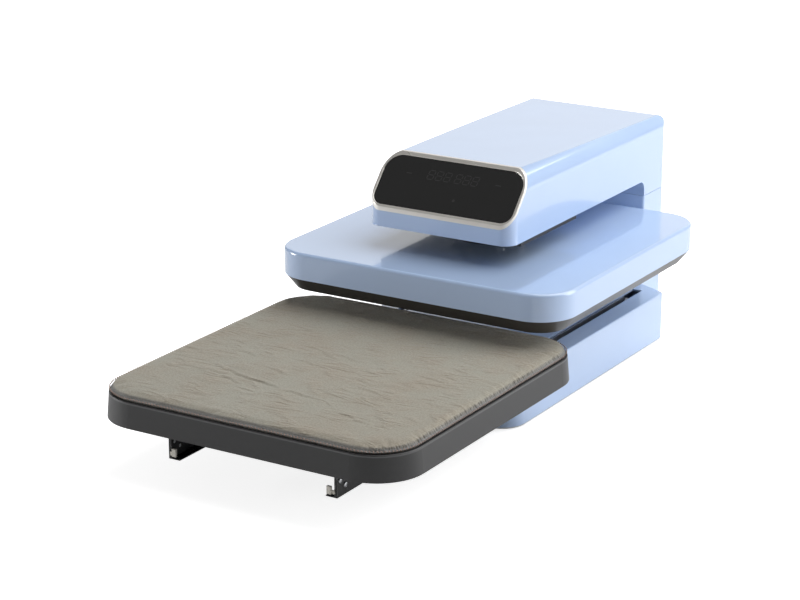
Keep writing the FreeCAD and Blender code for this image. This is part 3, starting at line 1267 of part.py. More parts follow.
def make_rail_parts(name, side):
    """Bracket that hangs the outer member under the tray, and the stand of the inner one.

    The stand's shelf covers the slide and its upturned lip shows in the slot of the base's top.
    """
    body = new_body("rail_bracket")
    low = front_of("1")
    under = "(tray_floor - tray_sheet)"
    outer = "(slide_face + bracket_sheet)"
    edge = f"({outer} + bracket_flange)"
    section = [("slide_face", "slide_low"), (outer, "slide_low"), (outer, f"{under} - bracket_sheet"),
               (edge, f"{under} - bracket_sheet"), (edge, under), ("slide_face", under)]
    prism(body, "Y", low, f"{low} + bracket_length", sided(side, section))
    holes = [disc(y, z, "rail_screw_radius + running_gap") for y, z in rail_screws()]
    prism(body, "X", *span(side, "slide_face - 1", f"{outer} + 1"), *holes, cut=True)
    keep(body, f"rail_bracket_{name}")
    body = new_body("rail_stand")
    wall = f"({SLIDE_INNER} - stand_sheet)"
    foot = f"({SLIDE_INNER} - stand_foot)"
    lip = "(slide_face - stand_lip_gap)"
    shelf = f"({SLIDE_TOP} + stand_gap)"
    section = [(SLIDE_INNER, "base_low"), (SLIDE_INNER, shelf), (lip, shelf), (lip, f"{shelf} + stand_sheet"),
               (wall, f"{shelf} + stand_sheet"), (wall, "base_low + stand_sheet"),
               (foot, "base_low + stand_sheet"), (foot, "base_low")]
    prism(body, "Y", "-stand_front", "stand_rear", sided(side, section))
    upright = rect(*span(side, f"{lip} - stand_sheet", lip), shelf, "base_top - seat_gap")
    prism(body, "Y", "-stand_front", "stand_lip_rear", upright)
    keep(body, f"rail_stand_{name}")


def make_rail_fittings():
    """Screws through the brackets and bumpers at the front of the slides."""
    screws = []
    bumpers = []
    low = front_of("1")
    seat = "(slide_face + bracket_sheet)"
    for name, side in SIDES:
        for y, z in rail_screws():
            start, end = span(side, seat, f"{seat} + rail_screw_rise")
            head = rod("X", start, y, z, "rail_screw_head", f"({end}) - ({start})")
            start, end = span(side, "slide_face - slide_sheet", seat)
            shank = rod("X", start, y, z, "rail_screw_radius", f"({end}) - ({start})")
            screws.append(fused(head, shank))
        first = f"{SLIDE_INNER} + bumper_reach"
        inside = span(side, first, f"{first} + bumper_width")
        ahead = (f"{low} - seat_gap - bumper_depth", f"{low} - seat_gap")
        foot = "slide_low + bumper_low"
        stop = block(inside, ahead, (foot, f"{foot} + bumper_height"))
        ear = block(span(side, first, "slide_face"), (f"{low} - seat_gap - bumper_ear", f"{low} - seat_gap"),
                    (foot, f"{foot} + bumper_height / 2"))
        bumpers.append(fused(stop, ear))
    keep(grouped(*screws), "bracket_screws")
    keep(grouped(*bumpers), "slide_bumpers")


def write_parts():
    """Check everything, then write one file for each node."""
    front = f"({TRAY_MIDDLE} - tray_depth / 2)"
    back = f"({REAR} + {rocker_reach()})"
    offset = VECTOR(0, -number(f"({front} + {back}) / 2"), 0)
    doc.removeObject(reading.Name)
    doc.recompute()
    for item in doc.Objects:
        check_state(item)
    for piece in NODES:
        if piece.Shape.isNull() or not piece.Shape.isValid() or not piece.Shape.Solids:
            raise RuntimeError(f"{piece.Label} has no valid solid")
    os.makedirs("parts", exist_ok=True)
    for piece in NODES:
        shape = piece.Shape.copy()
        shape.translate(offset)
        shape.exportStep(f"parts/{piece.Label}.step")
        print(piece.Label, len(shape.Solids), round(shape.Volume))
    print(len(NODES), "nodes")


def main():
    make_heat_cover()
    make_heat_rim()
    make_heating_platen()
    make_heating_element()
    make_head_inside()
    make_head_bolts()
    make_ram()
    make_arm_housing()
    make_display()
    make_arm_pan()
    make_column_housing()
    make_base_housing()
    make_floor()
    make_steel_frame()
    make_drive()
    make_boards()
    make_sockets()
    make_rocker()
    make_tray()
    make_pad()
    for name, side in SIDES:
        make_slide(name, side)
        make_rail_parts(name, side)
    make_rail_fittings()
    write_parts()


main()
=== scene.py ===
"""Looks of an automatic heat press with a padded drawer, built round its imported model.

Laid out as an add-on and run as a script.  Metres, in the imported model's frame: +Z up, +X to the
right, the display and the drawer face -Y.
"""
import math

import bmesh
import bpy
import numpy as np
from bpy.props import FloatProperty, FloatVectorProperty, IntProperty, PointerProperty
from mathutils import Matrix, Vector, noise


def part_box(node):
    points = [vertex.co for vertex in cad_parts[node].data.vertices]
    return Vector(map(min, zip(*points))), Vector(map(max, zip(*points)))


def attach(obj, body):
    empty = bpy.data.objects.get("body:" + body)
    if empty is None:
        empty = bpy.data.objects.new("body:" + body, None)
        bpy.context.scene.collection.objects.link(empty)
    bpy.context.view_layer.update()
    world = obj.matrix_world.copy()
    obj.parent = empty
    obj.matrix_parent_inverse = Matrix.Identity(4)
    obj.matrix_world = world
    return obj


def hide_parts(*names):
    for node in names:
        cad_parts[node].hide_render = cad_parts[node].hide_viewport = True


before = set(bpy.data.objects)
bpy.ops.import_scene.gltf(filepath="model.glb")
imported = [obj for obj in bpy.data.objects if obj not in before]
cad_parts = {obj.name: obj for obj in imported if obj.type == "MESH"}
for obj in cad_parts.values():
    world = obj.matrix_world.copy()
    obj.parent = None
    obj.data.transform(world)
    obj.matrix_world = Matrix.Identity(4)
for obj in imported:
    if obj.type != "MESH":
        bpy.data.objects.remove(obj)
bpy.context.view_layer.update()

bl_info = {
    "name": "Automatic heat press",
    "version": (1, 0, 0),
    "blender": (4, 5, 0),
    "location": "3D View > Sidebar > Heat press",
    "description": "Builds the finish, the padded cover and the stage of an automatic heat press",
    "category": "Object",
}

MM = 0.001
QUARTER = math.pi / 2


# Settings


def colour(name, note, value):
    return FloatVectorProperty(name=name, description=note, default=value, subtype="COLOR", size=3,
                               min=0, max=1)


def length(name, note, value):
    return FloatProperty(name=name, description=note, default=value, subtype="DISTANCE", unit="LENGTH",
                         precision=5)


def angle(name, note, degrees):
    return FloatProperty(name=name, description=note, default=math.radians(degrees), subtype="ANGLE")


def amount(name, note, value):
    return FloatProperty(name=name, description=note, default=value)


class PressFinishes(bpy.types.PropertyGroup):
    """Colours of the machine."""
    shell: colour("Shell", "Light blue of the moulded housings", (0.46, 0.595, 0.84))
    rim: colour("Rim", "Enamel of the skirt round the heated plate", (0.042, 0.039, 0.036))
    tray: colour("Tray", "Graphite of the drawer", (0.032, 0.032, 0.033))
    bezel: colour("Display frame", "Champagne of the display's frame", (0.83, 0.80, 0.75))
    glass: colour("Display glass", "Tint of the display's glass", (0.024, 0.024, 0.024))
    digits: colour("Digits", "Unlit digits behind the glass", (0.042, 0.042, 0.042))
    cloth: colour("Pad cloth", "Grey-green taupe of the pad's cover", (0.35, 0.335, 0.28))
    cloth_brown: colour("Pad blotches", "Warmer tone of the cloth's scorched blotches", (0.36, 0.315, 0.25))
    # Painted shade: the greyer colour that the cover's side gets for the shade it stands in.
    cloth_side: colour("Pad side", "Grey of the cover's shaded side", (0.25, 0.25, 0.245))
    thread: colour("Seam thread", "Brown thread of the cover's hem", (0.34, 0.245, 0.205))
    tab: colour("Slide stops", "Cream of the stops at the ends of the slides", (0.74, 0.71, 0.64))
    paint: colour("Black paint", "Paint of the rails and of the pan", (0.012, 0.012, 0.013))


class PadShape(bpy.types.PropertyGroup):
    """Size and simulation of the pad's cover."""
    corner: length("Corner", "Plan radius of the pad's corners", 0.0505)
    flare: length("Flare", "How far the cover's side stands out over the tray's lip", 0.004)
    crown: length("Crown", "Rounding of the pad's top edge", 0.003)
    shrink: length("Shrink", "How much smaller the cover starts before it swells", 0.001)
    face: length("Face", "Size of the faces that the cover is simulated with", 0.0071)
    pressure: amount("Pressure", "Pressure that swells the cover", 4.0)
    frames: IntProperty(name="Frames", description="Length of the simulation", default=20, min=2)
    swell: length("Swell", "The furthest that a point may move", 0.003)
    hem_gap: length("Hem gap", "Gap between the hem and the tray's lip", 0.0019)
    wave_height: length("Wave height", "Height of the soft waves on the top", 0.0003)
    wrinkle_height: length("Wrinkle height", "Height of the small wrinkles on the top", 0.00016)
    gather_pitch: length("Gather pitch", "Spacing of the folds along the gathered side", 0.0038)
    gather_depth: length("Gather depth", "Depth of those folds", 0.0026)
    stitch_pitch: length("Stitch pitch", "Spacing of the stitches in the hem", 0.0042)
    stitch_rise: length("Stitch rise", "Height of the stitches above the hem's edge", 0.0018)


class DisplayMarks(bpy.types.PropertyGroup):
    """Unlit digits of the display, measured from the glass's lower edge."""
    height: length("Digit height", "Height of a digit", 0.0122)
    width: length("Digit width", "Width of a digit", 0.0082)
    pitch: length("Digit pitch", "Spacing of the digits in a group", 0.0116)
    bar: length("Bar", "Width of a digit's bars", 0.0013)
    slant: amount("Slant", "How far the digits lean, as a share of their height", 0.12)
    base: length("Digit base", "Height of the digits' feet up the glass", 0.0424)
    left_group: length("Left group", "Middle of the left digit group", -0.0180)
    right_group: length("Right group", "Middle of the right digit group", 0.0203)


class ScrewShape(bpy.types.PropertyGroup):
    """Screws of the rail brackets."""
    head_rise: length("Head rise", "Height of a screw's head", 0.0018)
    shank: length("Shank", "Radius of a screw's shank", 0.002)


class PressStage(bpy.types.PropertyGroup):
    """Camera, floor and lights."""
    lens: amount("Lens", "Focal length for a sensor 36 mm wide", 108.0)
    camera_x: length("Camera X", "Place of the camera", 1.4157)
    camera_y: length("Camera Y", "Place of the camera", -2.4000)
    camera_z: length("Camera Z", "Place of the camera", 1.0254)
    yaw: angle("Yaw", "Turn of the view from straight back", 31.46)
    pitch: angle("Pitch", "How far the view looks down", 17.9)
    floor: colour("Floor", "Colour of the floor", (0.90, 0.90, 0.90))
    floor_glow: amount("Floor glow", "Light that the floor adds for the camera alone", 0.8)
    ambient: amount("Ambient", "Strength of the light from all around", 0.12)
    top_power: amount("Top light", "Power of the softbox above, in watts", 78.0)
    side_power: amount("Side light", "Power of the softbox at the right, in watts", 44.0)
    front_power: amount("Front light", "Power of the low softbox in front at the left, in watts", 48.0)
    back_power: amount("Backdrop light", "Power of the low, wide light behind, in watts", 21.0)


# Node trees


def wire(tree, socket, value):
    """Link an output to a socket, or set the socket's own value."""
    if isinstance(value, bpy.types.NodeSocket):
        tree.links.new(value, socket)
    else:
        socket.default_value = value


def add(tree, kind, inputs=(), **settings):
    """New node; its inputs are given by place or by name."""
    item = tree.nodes.new(kind)
    for name, value in settings.items():
        setattr(item, name, value)
    pairs = inputs.items() if isinstance(inputs, dict) else enumerate(inputs)
    for key, value in pairs:
        wire(tree, item.inputs[key], value)
    return item


def sums(tree, operation, first, second=0.0, third=0.0):
    """Output of one Math node."""
    return add(tree, "ShaderNodeMath", (first, second, third), operation=operation).outputs[0]


def joined(tree, x=0.0, y=0.0, z=0.0):
    """Vector from three values."""
    return add(tree, "ShaderNodeCombineXYZ", (x, y, z)).outputs[0]


def ramp(tree, value, low, high, to_low=0.0, to_high=1.0):
    """Output of a Map Range node."""
    return add(tree, "ShaderNodeMapRange", (value, low, high, to_low, to_high)).outputs[0]


def clouds_at(tree, point, scale, detail, **inputs):
    """Output of a Noise node."""
    values = {"Vector": point, "Scale": scale, "Detail": detail, **inputs}
    return add(tree, "ShaderNodeTexNoise", values).outputs["Fac"]


def mixed(tree, factor, first, second):
    """Colour between two colours; a plain colour has three values."""
    item = add(tree, "ShaderNodeMix", data_type="RGBA")
    for index, value in ((0, factor), (6, first), (7, second)):
        wire(tree, item.inputs[index], (*value, 1) if isinstance(value, tuple) else value)
    return item.outputs[2]


def object_point(tree):
    return add(tree, "ShaderNodeTexCoord").outputs["Object"]


def attribute(tree, name, output):
    return add(tree, "ShaderNodeAttribute", attribute_name=name).outputs[output]


# Shared effects


def build_grain(tree, scale):
    """Fine moulded grain with broad, faint clouds."""
    point = object_point(tree)
    return {"Height": clouds_at(tree, point, scale, 3.0), "Clouds": clouds_at(tree, point, 9.0, 2.0)}


def build_streaks(tree, blotch_scale):
    """Streaks along X, as a grinding belt leaves them."""
    point = object_point(tree)
    stretched = add(tree, "ShaderNodeMapping", {"Vector": point, "Scale": (4.0, 900.0, 900.0)}).outputs[0]
    return {"Height": clouds_at(tree, stretched, 1.0, 4.0),
            "Clouds": clouds_at(tree, point, blotch_scale, 2.0)}


def build_edge_wear(tree, width):
    """Mask of the outer edges, broken up by noise."""
    bevel = add(tree, "ShaderNodeBevel", {"Radius": width}, samples=4).outputs[0]
    flat = add(tree, "ShaderNodeNewGeometry").outputs["Normal"]
    turn = add(tree, "ShaderNodeVectorMath", (bevel, flat), operation="DOT_PRODUCT").outputs["Value"]
    edge = ramp(tree, turn, 0.999, 0.93)
    broken = ramp(tree, clouds_at(tree, object_point(tree), 260.0, 4.0), 0.42, 0.60)
    return {"Worn": sums(tree, "MULTIPLY", edge, broken)}


def build_weave(tree, pitch):
    """Plain weave on the cloth's own flat coordinates."""
    flat = attribute(tree, "cloth_flat", "Vector")
    axes = add(tree, "ShaderNodeSeparateXYZ", (flat,)).outputs
    turns = sums(tree, "DIVIDE", math.pi, pitch)
    across, down = (sums(tree, "SINE", sums(tree, "MULTIPLY", axis, turns)) for axis in axes[:2])
    warp, weft = (sums(tree, "ABSOLUTE", wave) for wave in (across, down))
    side = ramp(tree, sums(tree, "MULTIPLY", across, down), -0.25, 0.25)
    height = add(tree, "ShaderNodeMix", {0: side, 2: warp, 3: weft}, data_type="FLOAT").outputs[0]
    return {"Height": height, "Slub": clouds_at(tree, flat, 420.0, 3.0),
            "Blotch": clouds_at(tree, flat, 13.0, 5.0, Roughness=0.65)}


def build_crackle(tree, scale):
    """Short, thin wrinkles that run mostly across the cloth."""
    flat = attribute(tree, "cloth_flat", "Vector")
    stretched = add(tree, "ShaderNodeMapping",
                    {"Vector": flat, "Rotation": (0.0, 0.0, 0.25), "Scale": (0.32, 1.0, 1.0)}).outputs[0]
    waves = clouds_at(tree, stretched, scale, 2.0, Distortion=0.6)
    away = sums(tree, "ABSOLUTE", sums(tree, "SUBTRACT", waves, 0.5))
    line = ramp(tree, away, 0.0, 0.13, 1.0, 0.0)
    patches = ramp(tree, clouds_at(tree, flat, 26.0, 2.0), 0.42, 0.62)
    return {"Height": sums(tree, "MULTIPLY", line, patches)}


# For each effect: what builds it, its input and that input's first value.
EFFECTS = {
    "moulded grain": (build_grain, "Scale", 900.0),
    "ground streaks": (build_streaks, "Blotch scale", 14.0),
    "edge wear": (build_edge_wear, "Width", 0.0006),
    "plain weave": (build_weave, "Pitch", 0.0011),
    "cloth crackle": (build_crackle, "Scale", 62.0),
}


def effect(name):
    """Shader node group of a shared effect, built when it is first used."""
    if name in bpy.data.node_groups:
        return bpy.data.node_groups[name]
    build, label, value = EFFECTS[name]
    tree = bpy.data.node_groups.new(name, "ShaderNodeTree")
    tree.interface.new_socket(name=label, in_out="INPUT", socket_type="NodeSocketFloat").default_value = value
    results = build(tree, tree.nodes.new("NodeGroupInput").outputs[0])
    leave = tree.nodes.new("NodeGroupOutput")
    for label, output in results.items():
        tree.interface.new_socket(name=label, in_out="OUTPUT", socket_type="NodeSocketFloat")
        tree.links.new(output, leave.inputs[label])
    return tree


def placed(tree, name, value):
    """Outputs of a shared effect that a material uses with its own value."""
    item = add(tree, "ShaderNodeGroup", node_tree=effect(name))
    item.inputs[0].default_value = value
    return item.outputs


# Materials


def surface(name, base, roughness, metallic=0.0, **constants):
    """Material with a Principled shader whose steady values stand on its own sockets."""
    item = bpy.data.materials.new(name)
    item.use_nodes = True
    shader = item.node_tree.nodes["Principled BSDF"]
    shader.inputs["Base Color"].default_value = (*base, 1)
    shader.inputs["Roughness"].default_value = roughness
    shader.inputs["Metallic"].default_value = metallic
    for label, value in constants.items():
        shader.inputs[label.replace("_", " ")].default_value = value
    item.diffuse_color = (*base, 1)
    return item, item.node_tree, shader.inputs


def bumped(tree, inputs, height, distance, strength=1.0):
    bump = add(tree, "ShaderNodeBump", {"Height": height, "Distance": distance, "Strength": strength})
    wire(tree, inputs["Normal"], bump.outputs[0])


def tinted(base, factor):
    return tuple(min(1.0, value * factor) for value in base)


def mottled(tree, inputs, base, clouds, spread):
    """Base colour that drifts a little over the surface."""
    wire(tree, inputs["Base Color"], mixed(tree, clouds, tinted(base, 1 - spread), tinted(base, 1 + spread)))


def uneven(tree, inputs, clouds, low, high):
    """Roughness that drifts between two values."""
    wire(tree, inputs["Roughness"], ramp(tree, clouds, 0.3, 0.7, low, high))


def moulded(name, base, gloss_low, gloss_high, grain_scale, grain_depth, **constants):
    """Moulded plastic or enamel: grain, faint clouds and an uneven gloss."""
    item, tree, inputs = surface(name, base, gloss_low, **constants)
    grain = placed(tree, "moulded grain", grain_scale)
    mottled(tree, inputs, base, grain["Clouds"], 0.03)
    uneven(tree, inputs, grain["Clouds"], gloss_low, gloss_high)
    bumped(tree, inputs, grain["Height"], grain_depth)
    return item


def ground_metal(name, base, rough_low, rough_high, depth):
    """Metal with fine streaks and blotches."""
    item, tree, inputs = surface(name, base, rough_low, 1.0)
    streaks = placed(tree, "ground streaks", 14.0)
    mottled(tree, inputs, base, streaks["Clouds"], 0.06)
    uneven(tree, inputs, streaks["Height"], rough_low, rough_high)
    bumped(tree, inputs, streaks["Height"], depth)
    return item


def painted_steel(name, base, bare, roughness):
    """Paint with a fine texture, worn through to the steel along the edges."""
    item, tree, inputs = surface(name, base, roughness)
    grain = placed(tree, "moulded grain", 1500.0)
    worn = placed(tree, "edge wear", 0.0005)["Worn"]
    wire(tree, inputs["Base Color"], mixed(tree, worn, base, bare))
    wire(tree, inputs["Metallic"], worn)
    uneven(tree, inputs, grain["Clouds"], roughness, roughness + 0.12)
    bumped(tree, inputs, grain["Height"], 0.00004)
    return item


def graphite_tray(base, lip):
    """Graphite enamel with a painted highlight: a narrow lighter line at the height of the lip."""
    item, tree, inputs = surface("tray_graphite", base, 0.36)
    grain = placed(tree, "moulded grain", 1600.0)
    height = add(tree, "ShaderNodeSeparateXYZ", (object_point(tree),)).outputs[2]
    away = sums(tree, "ABSOLUTE", sums(tree, "SUBTRACT", height, lip))
    # Painted highlight: a narrow line along the lip, broken up by faint clouds, is made lighter.
    line = ramp(tree, away, 0.0004, 0.0011, 1.0, 0.0)
    lip_highlight = sums(tree, "MULTIPLY", line, ramp(tree, grain["Clouds"], 0.2, 0.5, 0.6, 1.0))
    wire(tree, inputs["Base Color"], mixed(tree, lip_highlight, base, tinted(base, 3.2)))
    uneven(tree, inputs, grain["Clouds"], 0.36, 0.44)
    bumped(tree, inputs, grain["Height"], 0.00002)
    return item


def board_lacquer():
    """Green circuit board with lighter tracks under the lacquer."""
    base = (0.012, 0.10, 0.045)
    item, tree, inputs = surface("board_lacquer", base, 0.3)
    tracks = add(tree, "ShaderNodeTexVoronoi", {"Vector": object_point(tree), "Scale": 160.0},
                 distance="CHEBYCHEV", feature="DISTANCE_TO_EDGE")
    mask = ramp(tree, tracks.outputs["Distance"], 0.06, 0.08)
    wire(tree, inputs["Base Color"], mixed(tree, mask, (0.02, 0.19, 0.08), base))
    bumped(tree, inputs, mask, 0.00003)
    return item


def pressed_cloth(base, brown, side):
    """Woven cover of the pad: slubs, scorched blotches, fine wrinkles, painted shade in the weave's hollows
    and a greyer side that is painted shade.
    """
    item, tree, inputs = surface("pad_cloth", base, 0.85, Sheen_Weight=0.15, Sheen_Roughness=0.5,
                                 Specular_IOR_Level=0.25)
    cloth = placed(tree, "plain weave", 0.0011)
    wrinkle = placed(tree, "cloth crackle", 62.0)["Height"]
    scorched = ramp(tree, cloth["Blotch"], 0.38, 0.64, 0.0, 0.8)
    top = mixed(tree, scorched, tinted(base, 1.05), brown)
    # Painted shade: the cover's side is tinted greyer than its top.
    tint = mixed(tree, attribute(tree, "cloth_side", "Fac"), top, side)
    # Painted shade and highlight: the weave's hollows are darker and its threads' crowns lighter.
    shade = ramp(tree, cloth["Height"], 0.0, 1.0, 0.74, 1.06)
    slub = ramp(tree, cloth["Slub"], 0.35, 0.65, 0.86, 1.1)
    value = sums(tree, "MULTIPLY", shade, slub)
    toned = add(tree, "ShaderNodeHueSaturation", {"Color": tint, "Value": value}).outputs[0]
    wire(tree, inputs["Base Color"], toned)
    uneven(tree, inputs, cloth["Slub"], 0.78, 0.95)
    bumped(tree, inputs, sums(tree, "MULTIPLY_ADD", wrinkle, 9.0, cloth["Height"]), 0.00022, 0.8)
    return item


def studio_floor(stage):
    """Matte floor that looks nearly white to the camera, as in a cut-out photograph."""
    item, tree, inputs = surface("studio_floor", tuple(stage.floor), 0.9, Emission_Strength=1.0)
    seen = add(tree, "ShaderNodeLightPath").outputs["Is Camera Ray"]
    wire(tree, inputs["Emission Color"], mixed(tree, seen, (0.0, 0.0, 0.0), (stage.floor_glow,) * 3))
    return item


def finishes():
    """All materials by the name of the finish."""
    settings = bpy.context.scene.press_finishes
    tint = {name: tuple(getattr(settings, name)) for name in PressFinishes.__annotations__}
    # Height of the painted highlight along the tray's lip.
    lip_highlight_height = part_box("drawer_tray")[1].z - 0.0018
    bright = (0.72, 0.72, 0.73)
    return {
        "shell": moulded("shell_gloss", tint["shell"], 0.16, 0.22, 700.0, 0.000004,
                         Coat_Weight=0.9, Coat_Roughness=0.05),
        "rim": moulded("rim_enamel", tint["rim"], 0.30, 0.38, 1100.0, 0.00001),
        "tray": graphite_tray(tint["tray"], lip_highlight_height),
        "cast": ground_metal("cast_plate", bright, 0.32, 0.5, 0.00001),
        "bezel": moulded("champagne_frame", tint["bezel"], 0.26, 0.34, 500.0, 0.000002, Metallic=0.6),
        "glass": moulded("display_glass", tint["glass"], 0.05, 0.07, 300.0, 0.0000005),
        "paint": painted_steel("black_paint", tint["paint"], (0.45, 0.45, 0.46), 0.38),
        "zinc": ground_metal("zinc_plate", (0.56, 0.57, 0.59), 0.28, 0.42, 0.000006),
        "polished": ground_metal("polished_steel", bright, 0.1, 0.16, 0.000001),
        # Painted shade: the ram's tube and flange are made nearly black so that they read as the shade under
        # the arm.
        "blued": ground_metal("blued_steel", (0.035, 0.035, 0.042), 0.5, 0.6, 0.000003),
        "bronze": ground_metal("turned_bronze", (0.62, 0.42, 0.2), 0.25, 0.35, 0.000004),
        "mineral": moulded("mineral_board", (0.74, 0.71, 0.64), 0.8, 0.9, 500.0, 0.0002),
        "lacquer": board_lacquer(),
        "plastic": moulded("black_plastic", (0.014, 0.014, 0.015), 0.38, 0.46, 1300.0, 0.00003),
        "rubber": moulded("foot_rubber", (0.02, 0.02, 0.02), 0.75, 0.85, 900.0, 0.00008),
        "sponge": moulded("silicone_sponge", (0.50, 0.14, 0.08), 0.7, 0.8, 600.0, 0.0002),
        "digits": moulded("unlit_digits", tint["digits"], 0.06, 0.08, 300.0, 0.0000005),
        "cloth": pressed_cloth(tint["cloth"], tint["cloth_brown"], tint["cloth_side"]),
        "tab": moulded("slide_stop", tint["tab"], 0.5, 0.6, 900.0, 0.00004),
        "thread": moulded("seam_thread", tint["thread"], 0.75, 0.85, 2400.0, 0.00008),
        "floor": studio_floor(bpy.context.scene.press_stage),
    }


def sided(*names):
    """Left and right node of each name."""
    return tuple(f"{name}_{side}" for name in names for side in ("left", "right"))


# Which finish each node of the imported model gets.
NODE_FINISH = {
    "shell": ("arm_housing", "column_housing", "base_housing", "heat_cover"),
    "rim": ("heat_rim",),
    "tray": ("drawer_tray",),
    "cast": ("heating_platen", "pad_plate", "gearbox"),
    "bezel": ("display_bezel",),
    "glass": ("display_glass",),
    "paint": ("arm_pan", "gear_motor", *sided("rail_bracket", "slide_outer")),
    "zinc": ("floor_plate", "foot_screws", "arm_frame", "column_frame", "drive_bridge", "heating_element",
             "pressure_plate", "platen_standoffs", "head_spacers", "temperature_sensor", "head_bolts",
             "lead_screw", "bracket_screws", *sided("rail_stand", "slide_inner", "slide_middle")),
    "tab": ("slide_bumpers",),
    # Painted shade: nearly black so that they read as the shade under the arm.
    "blued": ("ram_tube", "ram_flange"),
    "polished": ("inlet_pins", "guide_rods", *sided("ball_cage_outer", "ball_cage_inner")),
    "bronze": ("guide_bushes", "ram_nut"),
    "mineral": ("insulation_board",),
    "lacquer": ("control_board", "power_board"),
    "plastic": ("solid_state_relay", "power_inlet", "switch_housing", "switch_rocker", "led_display"),
    "rubber": ("rubber_feet",),
    "sponge": ("pad_core",),
    "cloth": ("pad_cover",),
}
PAINTS = {}


def paint(item, finish):
    """Give an object one finish."""
    item.data.materials.clear()
    item.data.materials.append(PAINTS[finish])


def finish_nodes():
    """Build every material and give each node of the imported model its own."""
    PAINTS.update(finishes())
    for finish, names in NODE_FINISH.items():
        for name in names:
            paint(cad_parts[name], finish)


# Meshes


def linked(name, data):
    """New object in the scene."""
    item = bpy.data.objects.new(name, data)
    bpy.context.scene.collection.objects.link(item)
    return item


def new_piece(name, mesh, finish, body):
    """Object for a finished mesh, riding on a body."""
    mesh.name = name
    item = linked(name, mesh)
    paint(item, finish)
    mesh.shade_smooth()
    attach(item, body)
    return item


def mesh_from(points, faces, edges=()):
    mesh = bpy.data.meshes.new("shape")
    mesh.from_pydata([tuple(point) for point in points], edges, faces)
    mesh.update()
    return mesh


def from_form(form):
    """Mesh from a bmesh, which is freed."""
    mesh = bpy.data.meshes.new("shape")
    form.to_mesh(mesh)
    form.free()
    return mesh


def applied(host):
    """Plain mesh of an object with its modifiers applied; the object is removed."""
    bpy.context.view_layer.update()
    graph = bpy.context.evaluated_depsgraph_get()
    mesh = bpy.data.meshes.new_from_object(host.evaluated_get(graph), preserve_all_data_layers=True,
                                           depsgraph=graph)
    host.modifiers.clear()
    bpy.data.objects.remove(host)
    return mesh


def grown(name, tree, base, **values):
    """Mesh that a Geometry Nodes tree makes from a base mesh and named inputs."""
    host = linked(name, base)
    modifier = host.modifiers.new("form", "NODES")
    modifier.node_group = tree
    for socket in tree.interface.items_tree:
        key = socket.name.lower().replace(" ", "_")
        if socket.in_out == "INPUT" and key in values:
            modifier[socket.identifier] = values[key]
    return applied(host)


def form_tree(name, **inputs):
    """Empty Geometry Nodes tree with a geometry input, named inputs and a geometry output."""
    kinds = {float: "NodeSocketFloat", int: "NodeSocketInt"}
    tree = bpy.data.node_groups.new(name, "GeometryNodeTree")
    tree.interface.new_socket(name="Geometry", in_out="INPUT", socket_type="NodeSocketGeometry")
    tree.interface.new_socket(name="Geometry", in_out="OUTPUT", socket_type="NodeSocketGeometry")
    for label, value in inputs.items():
        socket = tree.interface.new_socket(name=label.replace("_", " "), in_out="INPUT",
                                           socket_type=kinds[type(value)])
        socket.default_value = value
    return tree, tree.nodes.new("NodeGroupInput").outputs


def turned(tree, facing, axis, x=0.0, y=0.0, z=0.0):
    """Rotation that points an axis along a way, after a turn about the instance's own axes."""
    aligned = add(tree, "FunctionNodeAlignRotationToVector", {"Vector": facing}, axis=axis).outputs[0]
    own = add(tree, "FunctionNodeEulerToRotation", (joined(tree, x, y, z),)).outputs[0]
    return add(tree, "FunctionNodeRotateRotation", (aligned, own), rotation_space="LOCAL").outputs[0]


def instanced(tree, points, instance, **inputs):
    """Copies of a geometry on points."""
    values = {"Points": points, "Instance": instance, **inputs}
    return add(tree, "GeometryNodeInstanceOnPoints", values).outputs[0]


def close_tree(tree, geometry, finish):
    """Realize the instances, set their material and end the tree."""
    whole = add(tree, "GeometryNodeRealizeInstances", (geometry,)).outputs[0]
    painted = add(tree, "GeometryNodeSetMaterial", {"Geometry": whole, "Material": PAINTS[finish]}).outputs[0]
    tree.links.new(painted, tree.nodes.new("NodeGroupOutput").inputs[0])
    return tree


def rounded_outline(half_x, half_y, radius, count):
    """Points evenly spaced round a rounded rectangle, from the right side on."""
    straight_x = half_x - radius
    straight_y = half_y - radius
    arc = radius * QUARTER
    runs = [2 * straight_y, arc, 2 * straight_x, arc] * 2
    points = []
    for index in range(count):
        along = sum(runs) * index / count
        run = 0
        while along > runs[run]:
            along -= runs[run]
            run += 1
        if run % 2 == 0:
            x, y = (half_x if run in (0, 4) else half_y), along - runs[run] / 2
        else:
            x, y = (straight_x, straight_y) if run in (1, 5) else (straight_y, straight_x)
            x += radius * math.cos(along / radius)
            y += radius * math.sin(along / radius)
        cos, sin = math.cos(run // 2 * QUARTER), math.sin(run // 2 * QUARTER)
        points.append((x * cos - y * sin, x * sin + y * cos))
    return points


def islands(node):
    """Lowest and highest corner of each separate solid of a node, in order of place."""
    form = bmesh.new()
    form.from_mesh(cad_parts[node].data)
    bmesh.ops.remove_doubles(form, verts=form.verts, dist=1e-6)
    seen = set()
    found = []
    for start in form.verts:
        if start in seen:
            continue
        group = {start}
        queue = [start]
        while queue:
            for edge in queue.pop().link_edges:
                for vert in edge.verts:
                    if vert not in group:
                        group.add(vert)
                        queue.append(vert)
        seen |= group
        places = np.array([vert.co for vert in group])
        found.append((Vector(places.min(0)), Vector(places.max(0))))
    form.free()
    return sorted(found, key=lambda pair: tuple(round(value, 4) for value in pair[0]))


# The pad's cover

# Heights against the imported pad's top: where the swollen top is pressed to, and the highest ridge.
PRESSED_TOP = -0.0004
RIDGE_TOP = 0.0002
# How soon the cloth is eased off below those two heights.
PRESSED_GIVE = 0.0004
RIDGE_GIVE = 0.0003
# Height of the cover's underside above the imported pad's.
UNDERSIDE = 0.0005
# Shares of the side's height at which it has a row of points.
SIDE_ROWS = (0.66, 0.33, 0.1)
# Points lower than this above the hem are held while the cover swells.
HELD_BELOW = 0.001
